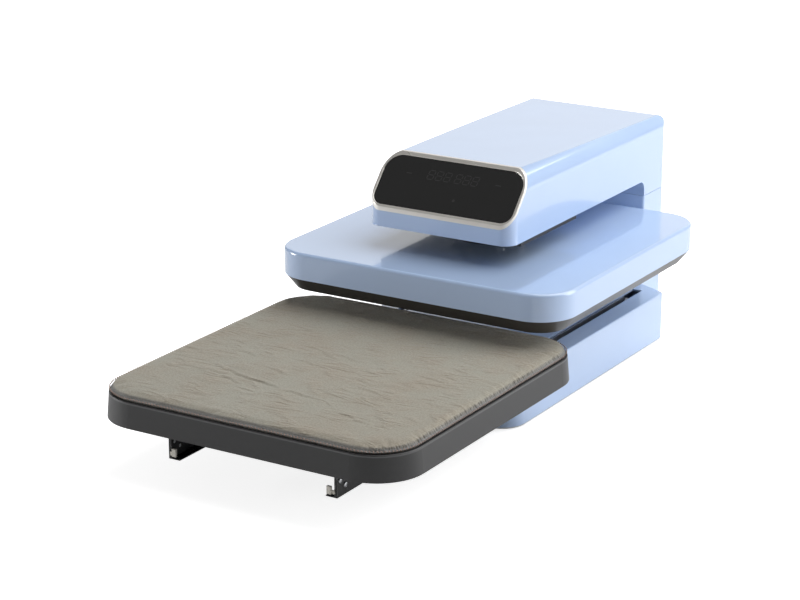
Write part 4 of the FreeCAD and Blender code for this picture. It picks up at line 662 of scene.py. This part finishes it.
# Widths of a crease's ridge and of the trough beside it, and the trough's place and depth against the ridge.
RIDGE_WIDTH = 0.0024
TROUGH_WIDTH = 0.0030
TROUGH_PLACE = 0.0042
TROUGH_DEPTH = 0.75
# Points of the line that the stitches follow, and how deep that line lies in the cloth.
STITCH_POINTS = 720
STITCH_SINK = 0.0001

# Creases on the pad's top: start and end as shares of its width and depth, and depth in mm.
CREASES = (
    ((0.20, 0.30), (0.50, 0.235), 1.35),
    ((0.46, 0.24), (0.62, 0.225), 0.9),
    ((0.24, 0.25), (0.36, 0.215), 0.99),
    ((0.31, 0.37), (0.44, 0.34), 0.72),
    ((0.34, 0.46), (0.50, 0.44), 0.63),
    ((0.42, 0.55), (0.56, 0.53), 0.63),
    ((0.48, 0.63), (0.60, 0.62), 0.54),
    ((0.70, 0.17), (0.86, 0.13), 0.72),
    ((0.64, 0.36), (0.74, 0.34), 0.54),
    ((0.74, 0.52), (0.90, 0.50), 0.63),
    ((0.16, 0.44), (0.27, 0.42), 0.54),
)


def positions(mesh):
    flat = np.zeros(len(mesh.vertices) * 3)
    mesh.vertices.foreach_get("co", flat)
    return flat.reshape(-1, 3)


def set_positions(mesh, places):
    mesh.vertices.foreach_set("co", places.astype(np.float32).ravel())
    mesh.update()


def store(mesh, name, kind, field, values):
    """Store a value for each point of a mesh under a name."""
    item = mesh.attributes.new(name, kind, "POINT")
    item.data.foreach_set(field, np.asarray(values, dtype=np.float32).ravel())


def share(values, start, span):
    """How far values have come from a start over a span, from 0 to 1."""
    return np.clip((values - start) / span, 0, 1)


def noise_at(x, y, z=0.0):
    """Noise at many points, whose coordinates are arrays or single values."""
    points = np.stack(np.broadcast_arrays(x, y, z), axis=-1)
    return np.array([noise.noise(point) for point in points.tolist()])


class PadRegion:
    """Where the pad lies and how its outline runs."""

    def __init__(self):
        self.shape = bpy.context.scene.pad_shape
        self.low, self.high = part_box("pad_cover")
        self.middle = (self.low + self.high) / 2
        self.half = (self.high - self.low) / 2
        self.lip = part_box("drawer_tray")[1].z
        self.hem = self.lip + self.shape.hem_gap
        self.edge = self.shape.corner + self.shape.flare

    def nearest(self, places):
        """For each point: the nearest one inside the top's rounded edge, the distance beyond the outline
        and the way outwards."""
        flat = places[:, :2] - np.array(self.middle[:2])
        radius = self.shape.corner
        reach = np.array(self.half[:2]) - radius
        core = np.clip(flat, -reach, reach)
        away = flat - core
        distance = np.linalg.norm(away, axis=1)
        way = away / np.maximum(distance, 1e-9)[:, None]
        inner = np.minimum(distance, radius - self.shape.crown)
        return core + way * inner[:, None], distance - radius, way


def pad_rows(region):
    """Profile of the cover's rim from the core outwards and down: distance from the core, and height."""
    shape = region.shape
    top = region.high.z - shape.shrink
    edge = region.edge - shape.shrink
    flat = edge - shape.crown
    steps = round(flat / shape.face)
    rows = [(flat * step / steps, top) for step in range(1, steps + 1)]
    for turn in (math.pi / 6, math.pi / 3, math.pi / 2):
        rows.append((flat + shape.crown * math.sin(turn), top - shape.crown * (1 - math.cos(turn))))
    side = top - shape.crown - region.hem
    rows.extend((edge, region.hem + side * part) for part in SIDE_ROWS)
    # Then the hem's edge, the way back over the lip, and the wall inside the tray down to the underside.
    wall = shape.corner - shape.shrink
    under = region.low.z + UNDERSIDE
    rows.extend(((edge - 0.0003, region.hem), (edge - 0.0022, region.hem), (wall, region.hem - 0.0008),
                 (wall, region.lip - 0.006), (wall, under + 0.0005), (wall - 0.006, under)))
    return rows


def pad_columns(region, counts):
    """Where each column of the rim leaves the core's grid and the way it faces, from the right side on."""
    wide, deep = counts
    sides = ([(wide, j) for j in range(deep + 1)], [(i, deep) for i in range(wide, -1, -1)],
             [(0, j) for j in range(deep, -1, -1)], [(i, 0) for i in range(wide + 1)])
    turns = round(region.shape.corner * QUARTER / region.shape.face)
    columns = []
    for quarter, side in enumerate(sides):
        facing = quarter * QUARTER
        columns.extend((i * (deep + 1) + j, facing) for i, j in side)
        corner = columns[-1][0]
        columns.extend((corner, facing + step / turns * QUARTER) for step in range(1, turns))
    return columns


def pad_blank(region):
    """Closed blank of the cover, a little smaller than the cover: a grid with a rim of even columns."""
    shape = region.shape
    reach = (region.half.x - shape.corner, region.half.y - shape.corner)
    counts = [round(2 * value / shape.face) for value in reach]
    xs, ys = (np.linspace(-value, value, number + 1) for value, number in zip(reach, counts))
    levels = (region.high.z - shape.shrink, region.low.z + UNDERSIDE)
    points = [(x + region.middle.x, y + region.middle.y, level) for level in levels for x in xs for y in ys]
    deep = counts[1] + 1
    below = (counts[0] + 1) * deep
    cells = [i * deep + j for i in range(counts[0]) for j in range(counts[1])]
    faces = [(cell, cell + deep, cell + deep + 1, cell + 1) for cell in cells]
    faces.extend([tuple(below + corner for corner in reversed(face)) for face in faces])
    columns = pad_columns(region, counts)
    rings = [[index for index, facing in columns]]
    for away, height in pad_rows(region):
        rings.append(list(range(len(points), len(points) + len(columns))))
        for index, facing in columns:
            x, y, level = points[index]
            points.append((x + away * math.cos(facing), y + away * math.sin(facing), height))
    rings.append([below + index for index, facing in columns])
    for inner, outer in zip(rings, rings[1:]):
        for c in range(len(columns)):
            d = (c + 1) % len(columns)
            faces.append(tuple(dict.fromkeys((inner[c], outer[c], outer[d], inner[d]))))
    return mesh_from(points, faces)


def swollen(mesh, region):
    """Cover after a short cloth simulation under pressure, with its movement capped."""
    shape = region.shape
    host = linked("swelling", mesh)
    start = positions(mesh)
    held = host.vertex_groups.new(name="held")
    held.add([int(i) for i in np.flatnonzero(start[:, 2] < region.hem + HELD_BELOW)], 1.0, "REPLACE")
    modifier = host.modifiers.new("cloth", "CLOTH")
    modifier.settings.vertex_group_mass = held.name
    modifier.settings.quality = 6
    modifier.settings.use_pressure = True
    modifier.settings.uniform_pressure_force = shape.pressure
    modifier.settings.effector_weights.gravity = 0
    modifier.point_cache.frame_start = 1
    modifier.point_cache.frame_end = shape.frames
    scene = bpy.context.scene
    for step in range(1, shape.frames + 1):
        scene.frame_set(step)
    result = applied(host)
    scene.frame_set(1)
    moved = positions(result) - start
    far = np.linalg.norm(moved, axis=1)
    moved *= np.minimum(1.0, shape.swell / np.maximum(far, 1e-9))[:, None]
    set_positions(result, start + moved)
    return result


def smoothed(mesh):
    """One smooth subdivision of the whole mesh."""
    host = linked("smoothing", mesh)
    modifier = host.modifiers.new("smooth", "SUBSURF")
    modifier.levels = modifier.render_levels = 1
    return applied(host)


def make_finer(mesh, pick):
    """Subdivide the faces that a test picks by their middles and by how far they face up."""
    form = bmesh.new()
    form.from_mesh(mesh)
    centres = np.array([face.calc_center_median() for face in form.faces])
    picked = pick(centres, np.array([face.normal.z for face in form.faces]))
    edges = {edge for face, inside in zip(form.faces, picked) if inside for edge in face.edges}
    bmesh.ops.subdivide_edges(form, edges=list(edges), cuts=1, use_grid_fill=True, smooth=0.6)
    form.to_mesh(mesh)
    form.free()


def crease_lines(places, region):
    """For each crease: how far along it and across it each point lies, its length and its depth."""
    size = 2 * np.array(region.half[:2])
    local = places[:, :2] - np.array(region.low[:2])
    for start, end, deep in CREASES:
        start = np.array(start) * size
        way = np.array(end) * size - start
        reach = np.linalg.norm(way)
        way /= reach
        away = local - start
        yield away @ way, away[:, 0] * way[1] - away[:, 1] * way[0], reach, deep * MM


def creased(places, region):
    """Height that the long creases add: a ridge with a trough beside it, along a wavy line."""
    height = np.zeros(len(places))
    for along, across, reach, deep in crease_lines(places, region):
        across += 0.0014 * np.sin(along * 95) + 0.0008 * np.sin(along * 260 + 1)
        fade = share(np.minimum(along, reach - along), 0, 0.3 * reach)
        ridge = np.exp(-(across / RIDGE_WIDTH) ** 2)
        trough = TROUGH_DEPTH * np.exp(-((across - TROUGH_PLACE) / TROUGH_WIDTH) ** 2)
        height += deep * fade * (ridge - trough)
    return height


def ruffled(places, region):
    """How far each point of the rim moves inwards for the gathers, and the ways outwards."""
    shape = region.shape
    core, beyond, way = region.nearest(places)
    facing = np.arctan2(way[:, 1], way[:, 0])
    # The folds run along the right side and on round its corners, unevenly spaced and deep.
    run = core[:, 1] + 0.8 * shape.corner * facing
    phase = math.pi * run / shape.gather_pitch + 4.0 * noise_at(run * 38, 0.3)
    valley = (1 - np.abs(np.sin(phase))) ** 1.6 + 0.25 * np.sin(1.3 * phase + 0.7)
    patches = np.clip(0.7 + 0.9 * noise_at(run * 21, 2.1), 0.1, 1.4)
    # They are strongest on the right and at the front corner, and stay on the rim above the hem.
    right = share(way[:, 0], 0, 1 / 1.8)
    corner = np.exp(-((facing + 0.35) / 0.45) ** 2)
    strength = np.clip(0.08 + 0.8 * right + 0.7 * corner, 0, 1.5)
    rim = share(beyond, shape.flare - shape.crown - 0.004, 0.004)
    height = places[:, 2] - region.hem
    above = np.maximum(share(height, -0.0005, 0.004), 0.25) * (height > -0.0006)
    return valley * strength * patches * rim * above * shape.gather_depth, way


def waved(places, shape):
    """Height of the soft waves and small wrinkles."""
    x, y = places[:, 0], places[:, 1]
    soft = noise_at(x * 11, y * 17, 0.7) + 0.5 * noise_at(x * 34, y * 62, 3.1)
    return shape.wave_height * soft + shape.wrinkle_height * noise_at(x * 90, y * 190, 5.5)


def capped(heights, ceiling, give):
    """Heights, with those close to the ceiling and above it eased to just under it."""
    over = heights - ceiling + give
    return np.where(over > 0, ceiling - give * np.exp(-over / give), heights)


def wrinkle(mesh, region):
    """Creases, soft waves and gathers on the cover, whose top stays under the pressed head."""
    places = positions(mesh)
    level = region.high.z
    places[:, 2] = capped(places[:, 2], level + PRESSED_TOP, PRESSED_GIVE)
    core, beyond, way = region.nearest(places)
    top = share(places[:, 2], level - 0.005, 0.003)
    inside = share(-beyond, 0, 0.012)
    lift = top * (waved(places, region.shape) + creased(places, region)) * (0.25 + 0.75 * inside)
    gather, way = ruffled(places, region)
    places[:, 2] += lift - 0.3 * gather * top
    places[:, :2] -= way * gather[:, None]
    places[:, 2] = capped(places[:, 2], level + RIDGE_TOP, RIDGE_GIVE)
    set_positions(mesh, places)


def mark_cloth(mesh, region):
    """Store the cloth's flat coordinates, measured on over the rim, and the share of its side that gets the
    painted shade.
    """
    places = positions(mesh)
    core, beyond, way = region.nearest(places)
    beyond_top = beyond + region.shape.crown
    drop = np.maximum(region.high.z - 0.002 - places[:, 2], 0)
    over = (np.maximum(beyond_top, 0) + drop) * share(beyond_top, 0, 0.004)
    flat = core + way * over[:, None]
    store(mesh, "cloth_flat", "FLOAT_VECTOR", "vector", np.column_stack((flat, np.zeros(len(flat)))))
    # Painted shade: the share of each point on the cover's side, which the material tints greyer.
    lowered = share(-places[:, 2], 0.0015 - region.high.z, 0.002)
    store(mesh, "cloth_side", "FLOAT", "value", lowered * share(beyond, -0.002, 0.003))


def make_pad_cover():
    region = PadRegion()
    mesh = pad_blank(region)
    mesh = swollen(mesh, region)
    mesh = smoothed(mesh)

    def at_rim(places, up):
        core, beyond, way = region.nearest(places)
        return (beyond > -0.010) & (places[:, 2] > region.hem - 0.002)

    def at_gathers(places, up):
        core, beyond, way = region.nearest(places)
        return (beyond > -0.004) & (places[:, 2] > region.hem - 0.001) & (way[:, 0] > 0.05)

    def at_creases(width):
        def near(places, up):
            found = np.zeros(len(places), dtype=bool)
            for along, across, reach, deep in crease_lines(places, region):
                found |= (along > -0.004) & (along < reach + 0.004) & (np.abs(across - 0.0015) < width)
            return found & (up > 0.9)
        return near

    for pick in (at_rim, at_gathers, at_creases(0.009), at_creases(0.006)):
        make_finer(mesh, pick)
    wrinkle(mesh, region)
    mark_cloth(mesh, region)
    piece = new_piece("pad_cloth_cover", mesh, "cloth", "drawer")
    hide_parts("pad_cover", "pad_core")


def stitch_tree():
    """Short, slanted stitches along the edges of the base mesh."""
    tree, given = form_tree("overlock_stitches", Pitch=0.0042, Stitch_length=0.0030, Thread_radius=0.0007,
                            Slant=0.7)
    curve = add(tree, "GeometryNodeMeshToCurve", (given["Geometry"],)).outputs[0]
    even = add(tree, "GeometryNodeResampleCurve", {"Curve": curve, "Length": given["Pitch"]}, mode="LENGTH")
    bead = add(tree, "GeometryNodeMeshUVSphere", {"Segments": 6, "Rings": 5, "Radius": 0.5}).outputs[0]
    wide = sums(tree, "MULTIPLY", given["Thread radius"], 2.0)
    random = add(tree, "FunctionNodeRandomValue", {2: -0.35, 3: 0.35, "Seed": 4}, data_type="FLOAT")
    along = add(tree, "GeometryNodeInputTangent").outputs[0]
    rotation = turned(tree, along, "X", y=sums(tree, "ADD", given["Slant"], random.outputs[1]))
    size = joined(tree, given["Stitch length"], wide, wide)
    return close_tree(tree, instanced(tree, even.outputs[0], bead, Rotation=rotation, Scale=size), "thread")


def make_stitches():
    region = PadRegion()
    shape = region.shape
    out = shape.flare - STITCH_SINK
    ring = rounded_outline(region.half.x + out, region.half.y + out, shape.corner + out, STITCH_POINTS)
    height = region.hem + shape.stitch_rise
    points = [(x + region.middle.x, y + region.middle.y, height) for x, y in ring]
    base = mesh_from(points, [], [(i, (i + 1) % STITCH_POINTS) for i in range(STITCH_POINTS)])
    mesh = grown("hem_stitches", stitch_tree(), base, pitch=shape.stitch_pitch)
    new_piece("pad_hem_stitches", mesh, "thread", "drawer")


# The display

# How far the marks stand out of the glass and sink into it.
MARK_RISE = 0.00005
# Middles and size of the two bars beside the digits, and middle and radius of the dot below them.
BARS = ((-0.0605, 0.0466), (0.0639, 0.0478))
BAR_SIZE = (0.0075, 0.0012)
DOT = (0.0128, 0.0190)
DOT_RADIUS = 0.0019


def glass_matrix():
    """Places a flat drawing on the glass: X across, Y up from the lower edge's middle, Z outwards."""
    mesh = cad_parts["display_glass"].data
    front = max((face for face in mesh.polygons if face.normal.y < -0.3), key=lambda face: face.area)
    out = Vector((0, front.normal.y, front.normal.z)).normalized()
    up = Vector((0, out.z, -out.y))
    level = front.center.dot(out)
    foot = min(vert.co.dot(up) for vert in mesh.vertices if abs(vert.co.dot(out) - level) < 1e-4)
    turn = Matrix((Vector((1, 0, 0)), up, out)).transposed().to_4x4()
    return Matrix.Translation(out * level + up * foot) @ turn


def digit_tree():
    """Row of seven-bar digits that lean a little."""
    tree, given = form_tree("digit_row", Digits=3, Pitch=0.0142, Height=0.0122, Width=0.0085, Bar=0.0013,
                            Slant=0.12, Proud=MARK_RISE)
    thick = sums(tree, "MULTIPLY", given["Proud"], 2.0)
    gap = sums(tree, "MULTIPLY", given["Bar"], 1.25)
    across = sums(tree, "SUBTRACT", given["Width"], gap)
    upright = sums(tree, "SUBTRACT", sums(tree, "MULTIPLY", given["Height"], 0.5), gap)
    flat_bar = add(tree, "GeometryNodeMeshCube", (joined(tree, across, given["Bar"], thick),)).outputs[0]
    tall_bar = add(tree, "GeometryNodeMeshCube", (joined(tree, given["Bar"], upright, thick),)).outputs[0]
    join = tree.nodes.new("GeometryNodeJoinGeometry")
    places = [(flat_bar, 0.0, level) for level in (0.0, 0.5, 1.0)]
    places += [(tall_bar, side, level) for side in (-0.5, 0.5) for level in (0.25, 0.75)]
    for bar, side, level in places:
        x = sums(tree, "MULTIPLY", given["Width"], side)
        y = sums(tree, "MULTIPLY", given["Height"], level)
        moved = add(tree, "GeometryNodeTransform", {"Geometry": bar, "Translation": joined(tree, x, y)})
        tree.links.new(moved.outputs[0], join.inputs[0])
    step = joined(tree, given["Pitch"])
    row = add(tree, "GeometryNodeMeshLine", {"Count": given["Digits"], "Offset": step}).outputs[0]
    whole = add(tree, "GeometryNodeRealizeInstances", (instanced(tree, row, join.outputs[0]),)).outputs[0]
    place = add(tree, "GeometryNodeInputPosition").outputs[0]
    height = add(tree, "ShaderNodeSeparateXYZ", (place,)).outputs[1]
    lean = joined(tree, sums(tree, "MULTIPLY", height, given["Slant"]))
    leaning = add(tree, "GeometryNodeSetPosition", {"Geometry": whole, "Offset": lean}).outputs[0]
    return close_tree(tree, leaning, "digits")


def make_digits():
    marks = bpy.context.scene.display_marks
    tree = digit_tree()
    whole = bmesh.new()
    for middle in (marks.left_group, marks.right_group):
        row = grown("digit_row", tree, bpy.data.meshes.new("start"), digits=3, pitch=marks.pitch,
                    height=marks.height, width=marks.width, bar=marks.bar, slant=marks.slant, proud=MARK_RISE)
        left = middle - marks.pitch - marks.slant * marks.height / 2
        row.transform(Matrix.Translation((left, marks.base, 0)))
        whole.from_mesh(row)
    for place in BARS:
        size = Matrix.Diagonal((*BAR_SIZE, 2 * MARK_RISE, 1))
        bmesh.ops.create_cube(whole, size=1.0, matrix=Matrix.Translation((*place, 0)) @ size)
    bmesh.ops.create_cone(whole, cap_ends=True, segments=24, radius1=DOT_RADIUS, radius2=DOT_RADIUS,
                          depth=2 * MARK_RISE, matrix=Matrix.Translation((*DOT, 0)))
    mesh = from_form(whole)
    mesh.transform(glass_matrix())
    piece = new_piece("display_digits", mesh, "digits", "frame")
    piece.data.shade_flat()


# Screws


def screw_head(radius, height, shank, reach):
    """Domed head with a cross recess on a shank, its axis along Z and the head's seat at zero."""
    segments = 24
    brim = 0.35
    profile = [(shank, -reach), (shank, 0.0), (radius, 0.0), (radius, height * brim)]
    for step in range(1, 6):
        turn = step / 6 * QUARTER
        profile.append((radius * math.cos(turn), height * (brim + (1 - brim) * math.sin(turn))))
    form = bmesh.new()
    turns = [2 * math.pi * i / segments for i in range(segments)]
    rings = [[form.verts.new((out * math.cos(turn), out * math.sin(turn), level)) for turn in turns]
             for out, level in profile]
    for first, second in zip(rings, rings[1:]):
        for i in range(segments):
            j = (i + 1) % segments
            form.faces.new((first[i], first[j], second[j], second[i]))
    form.faces.new(list(reversed(rings[0])))
    form.faces.new(rings[-1])
    host = linked("head", from_form(form))
    cross = bmesh.new()
    for turn in (0, QUARTER):
        size = Matrix.Diagonal((radius * 1.15, radius * 0.24, height * 0.9, 1))
        place = Matrix.Rotation(turn, 4, "Z") @ Matrix.Translation((0, 0, height * 0.95)) @ size
        bmesh.ops.create_cube(cross, size=1.0, matrix=place)
    cutter = linked("cross", from_form(cross))
    modifier = host.modifiers.new("recess", "BOOLEAN")
    modifier.operation = "DIFFERENCE"
    modifier.use_self = True
    modifier.object = cutter
    result = applied(host)
    bpy.data.objects.remove(cutter)
    return result


def screw_tree(head):
    """One head at each point of the base mesh, turned to the point's normal."""
    tree, given = form_tree("bracket_screws", Turn=0.4)
    source = add(tree, "GeometryNodeObjectInfo", {"Object": head}).outputs["Geometry"]
    facing = add(tree, "GeometryNodeInputNamedAttribute", {"Name": "facing"}, data_type="FLOAT_VECTOR")
    index = add(tree, "GeometryNodeInputIndex").outputs[0]
    rotation = turned(tree, facing.outputs[0], "Z", z=sums(tree, "MULTIPLY", index, given["Turn"]))
    return close_tree(tree, instanced(tree, given["Geometry"], source, Rotation=rotation), "zinc")


def make_bracket_screws():
    """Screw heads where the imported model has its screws, facing outwards."""
    shape = bpy.context.scene.screw_shape
    solids = islands("bracket_screws")
    places = []
    facings = []
    for low, high in solids:
        side = 1 if low.x > 0 else -1
        seat = high.x - shape.head_rise if side > 0 else low.x + shape.head_rise
        places.append((seat, (low.y + high.y) / 2, (low.z + high.z) / 2))
        facings.append((side, 0, 0))
    low, high = solids[0]
    head = linked("screw_head", screw_head((high.z - low.z) / 2, shape.head_rise, shape.shank,
                                           high.x - low.x - shape.head_rise))
    base = mesh_from(places, [])
    store(base, "facing", "FLOAT_VECTOR", "vector", facings)
    mesh = grown("bracket_screws", screw_tree(head), base)
    bpy.data.objects.remove(head)
    piece = new_piece("bracket_screw_heads", mesh, "zinc", "drawer")
    piece.data.shade_flat()
    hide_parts("bracket_screws")


# The stage

# Each softbox: its place, the point that it looks at, its width and height, and the setting with its power.
SOFTBOXES = {
    "top_softbox": ((0.9, 0.75, 2.3), (0, 0.03, 0.1), 3.2, 3.0, "top_power"),
    "side_softbox": ((2.5, 1.7, 1.0), (0, 0.03, 0.1), 1.7, 2.2, "side_power"),
    "front_softbox": ((-3.0, -1.5, 0.5), (0, 0.03, 0.1), 1.5, 0.9, "front_power"),
    "backdrop_light": ((-1.6, 3.0, 1.05), (0, 0.03, 0.3), 4.4, 2.0, "back_power"),
}


def make_floor():
    form = bmesh.new()
    bmesh.ops.create_grid(form, x_segments=8, y_segments=8, size=14.0)
    item = linked("studio_floor", from_form(form))
    paint(item, "floor")


def make_lights(stage):
    """Large area lights, each looking at a point of the machine."""
    for name, (place, target, width, height, power) in SOFTBOXES.items():
        data = bpy.data.lights.new(name, "AREA")
        data.shape = "RECTANGLE"
        data.size = width
        data.size_y = height
        data.energy = getattr(stage, power)
        item = linked(name, data)
        item.location = place
        item.rotation_euler = (Vector(target) - Vector(place)).to_track_quat("-Z", "Y").to_euler()


def make_world(strength):
    """Even light from all around, white where the camera sees it."""
    world = bpy.data.worlds.new("studio")
    world.use_nodes = True
    tree = world.node_tree
    seen = add(tree, "ShaderNodeLightPath").outputs["Is Camera Ray"]
    background = tree.nodes["Background"].inputs
    wire(tree, background["Color"], mixed(tree, seen, (strength,) * 3, (1.0, 1.0, 1.0)))
    background["Strength"].default_value = 1.0
    bpy.context.scene.world = world


def make_stage():
    """Camera at the photograph's angle, a pale floor and soft lights."""
    scene = bpy.context.scene
    stage = scene.press_stage
    scene.view_settings.view_transform = "Standard"
    data = bpy.data.cameras.new("camera")
    data.lens = stage.lens
    data.sensor_width = 36.0
    data.sensor_fit = "HORIZONTAL"
    data.clip_end = 60.0
    scene.camera = linked("camera", data)
    scene.camera.location = (stage.camera_x, stage.camera_y, stage.camera_z)
    scene.camera.rotation_euler = (QUARTER - stage.pitch, 0.0, stage.yaw)
    make_floor()
    make_world(stage.ambient)
    make_lights(stage)


# Operators


class BuildStep:
    """What the operators share: each one runs its builder."""

    def execute(self, context):
        self.build()
        return {"FINISHED"}


class HEATPRESS_OT_finishes(BuildStep, bpy.types.Operator):
    """Build the materials and give each piece of the machine its finish"""
    bl_idname = "heatpress.finishes"
    bl_label = "Finishes"
    build = staticmethod(finish_nodes)


class HEATPRESS_OT_stage(BuildStep, bpy.types.Operator):
    """Set up the camera, the floor and the lights"""
    bl_idname = "heatpress.stage"
    bl_label = "Stage"
    build = staticmethod(make_stage)


class HEATPRESS_OT_pad_cover(BuildStep, bpy.types.Operator):
    """Make the padded cloth cover with its creases and gathers"""
    bl_idname = "heatpress.pad_cover"
    bl_label = "Pad cover"
    build = staticmethod(make_pad_cover)


class HEATPRESS_OT_hem_stitches(BuildStep, bpy.types.Operator):
    """Sew the stitches round the cover's hem"""
    bl_idname = "heatpress.hem_stitches"
    bl_label = "Hem stitches"
    build = staticmethod(make_stitches)


class HEATPRESS_OT_display_digits(BuildStep, bpy.types.Operator):
    """Make the unlit digits and signs of the display"""
    bl_idname = "heatpress.display_digits"
    bl_label = "Display digits"
    build = staticmethod(make_digits)


class HEATPRESS_OT_bracket_screws(BuildStep, bpy.types.Operator):
    """Make the cross-recessed screws of the rail brackets"""
    bl_idname = "heatpress.bracket_screws"
    bl_label = "Bracket screws"
    build = staticmethod(make_bracket_screws)


STEPS = (HEATPRESS_OT_finishes, HEATPRESS_OT_stage, HEATPRESS_OT_pad_cover, HEATPRESS_OT_hem_stitches,
         HEATPRESS_OT_display_digits, HEATPRESS_OT_bracket_screws)
GROUPS = {"press_finishes": PressFinishes, "pad_shape": PadShape, "display_marks": DisplayMarks,
          "screw_shape": ScrewShape, "press_stage": PressStage}


class HEATPRESS_PT_panel(bpy.types.Panel):
    """Buttons and settings of the heat press"""
    bl_idname = "HEATPRESS_PT_panel"
    bl_label = "Heat press"
    bl_space_type = "VIEW_3D"
    bl_region_type = "UI"
    bl_category = "Heat press"

    def draw(self, context):
        for step in STEPS:
            self.layout.operator(step.bl_idname)
        for name in GROUPS:
            box = self.layout.box()
            settings = getattr(context.scene, name)
            for setting in settings.__annotations__:
                box.prop(settings, setting)


CLASSES = (*GROUPS.values(), *STEPS, HEATPRESS_PT_panel)


def register():
    for item in CLASSES:
        bpy.utils.register_class(item)
    for name, group in GROUPS.items():
        setattr(bpy.types.Scene, name, PointerProperty(type=group))


def unregister():
    for name in GROUPS:
        delattr(bpy.types.Scene, name)
    for item in reversed(CLASSES):
        bpy.utils.unregister_class(item)


def main():
    register()
    for step in STEPS:
        space, name = step.bl_idname.split(".")
        getattr(getattr(bpy.ops, space), name)()


if __name__ == "__main__":
    main()
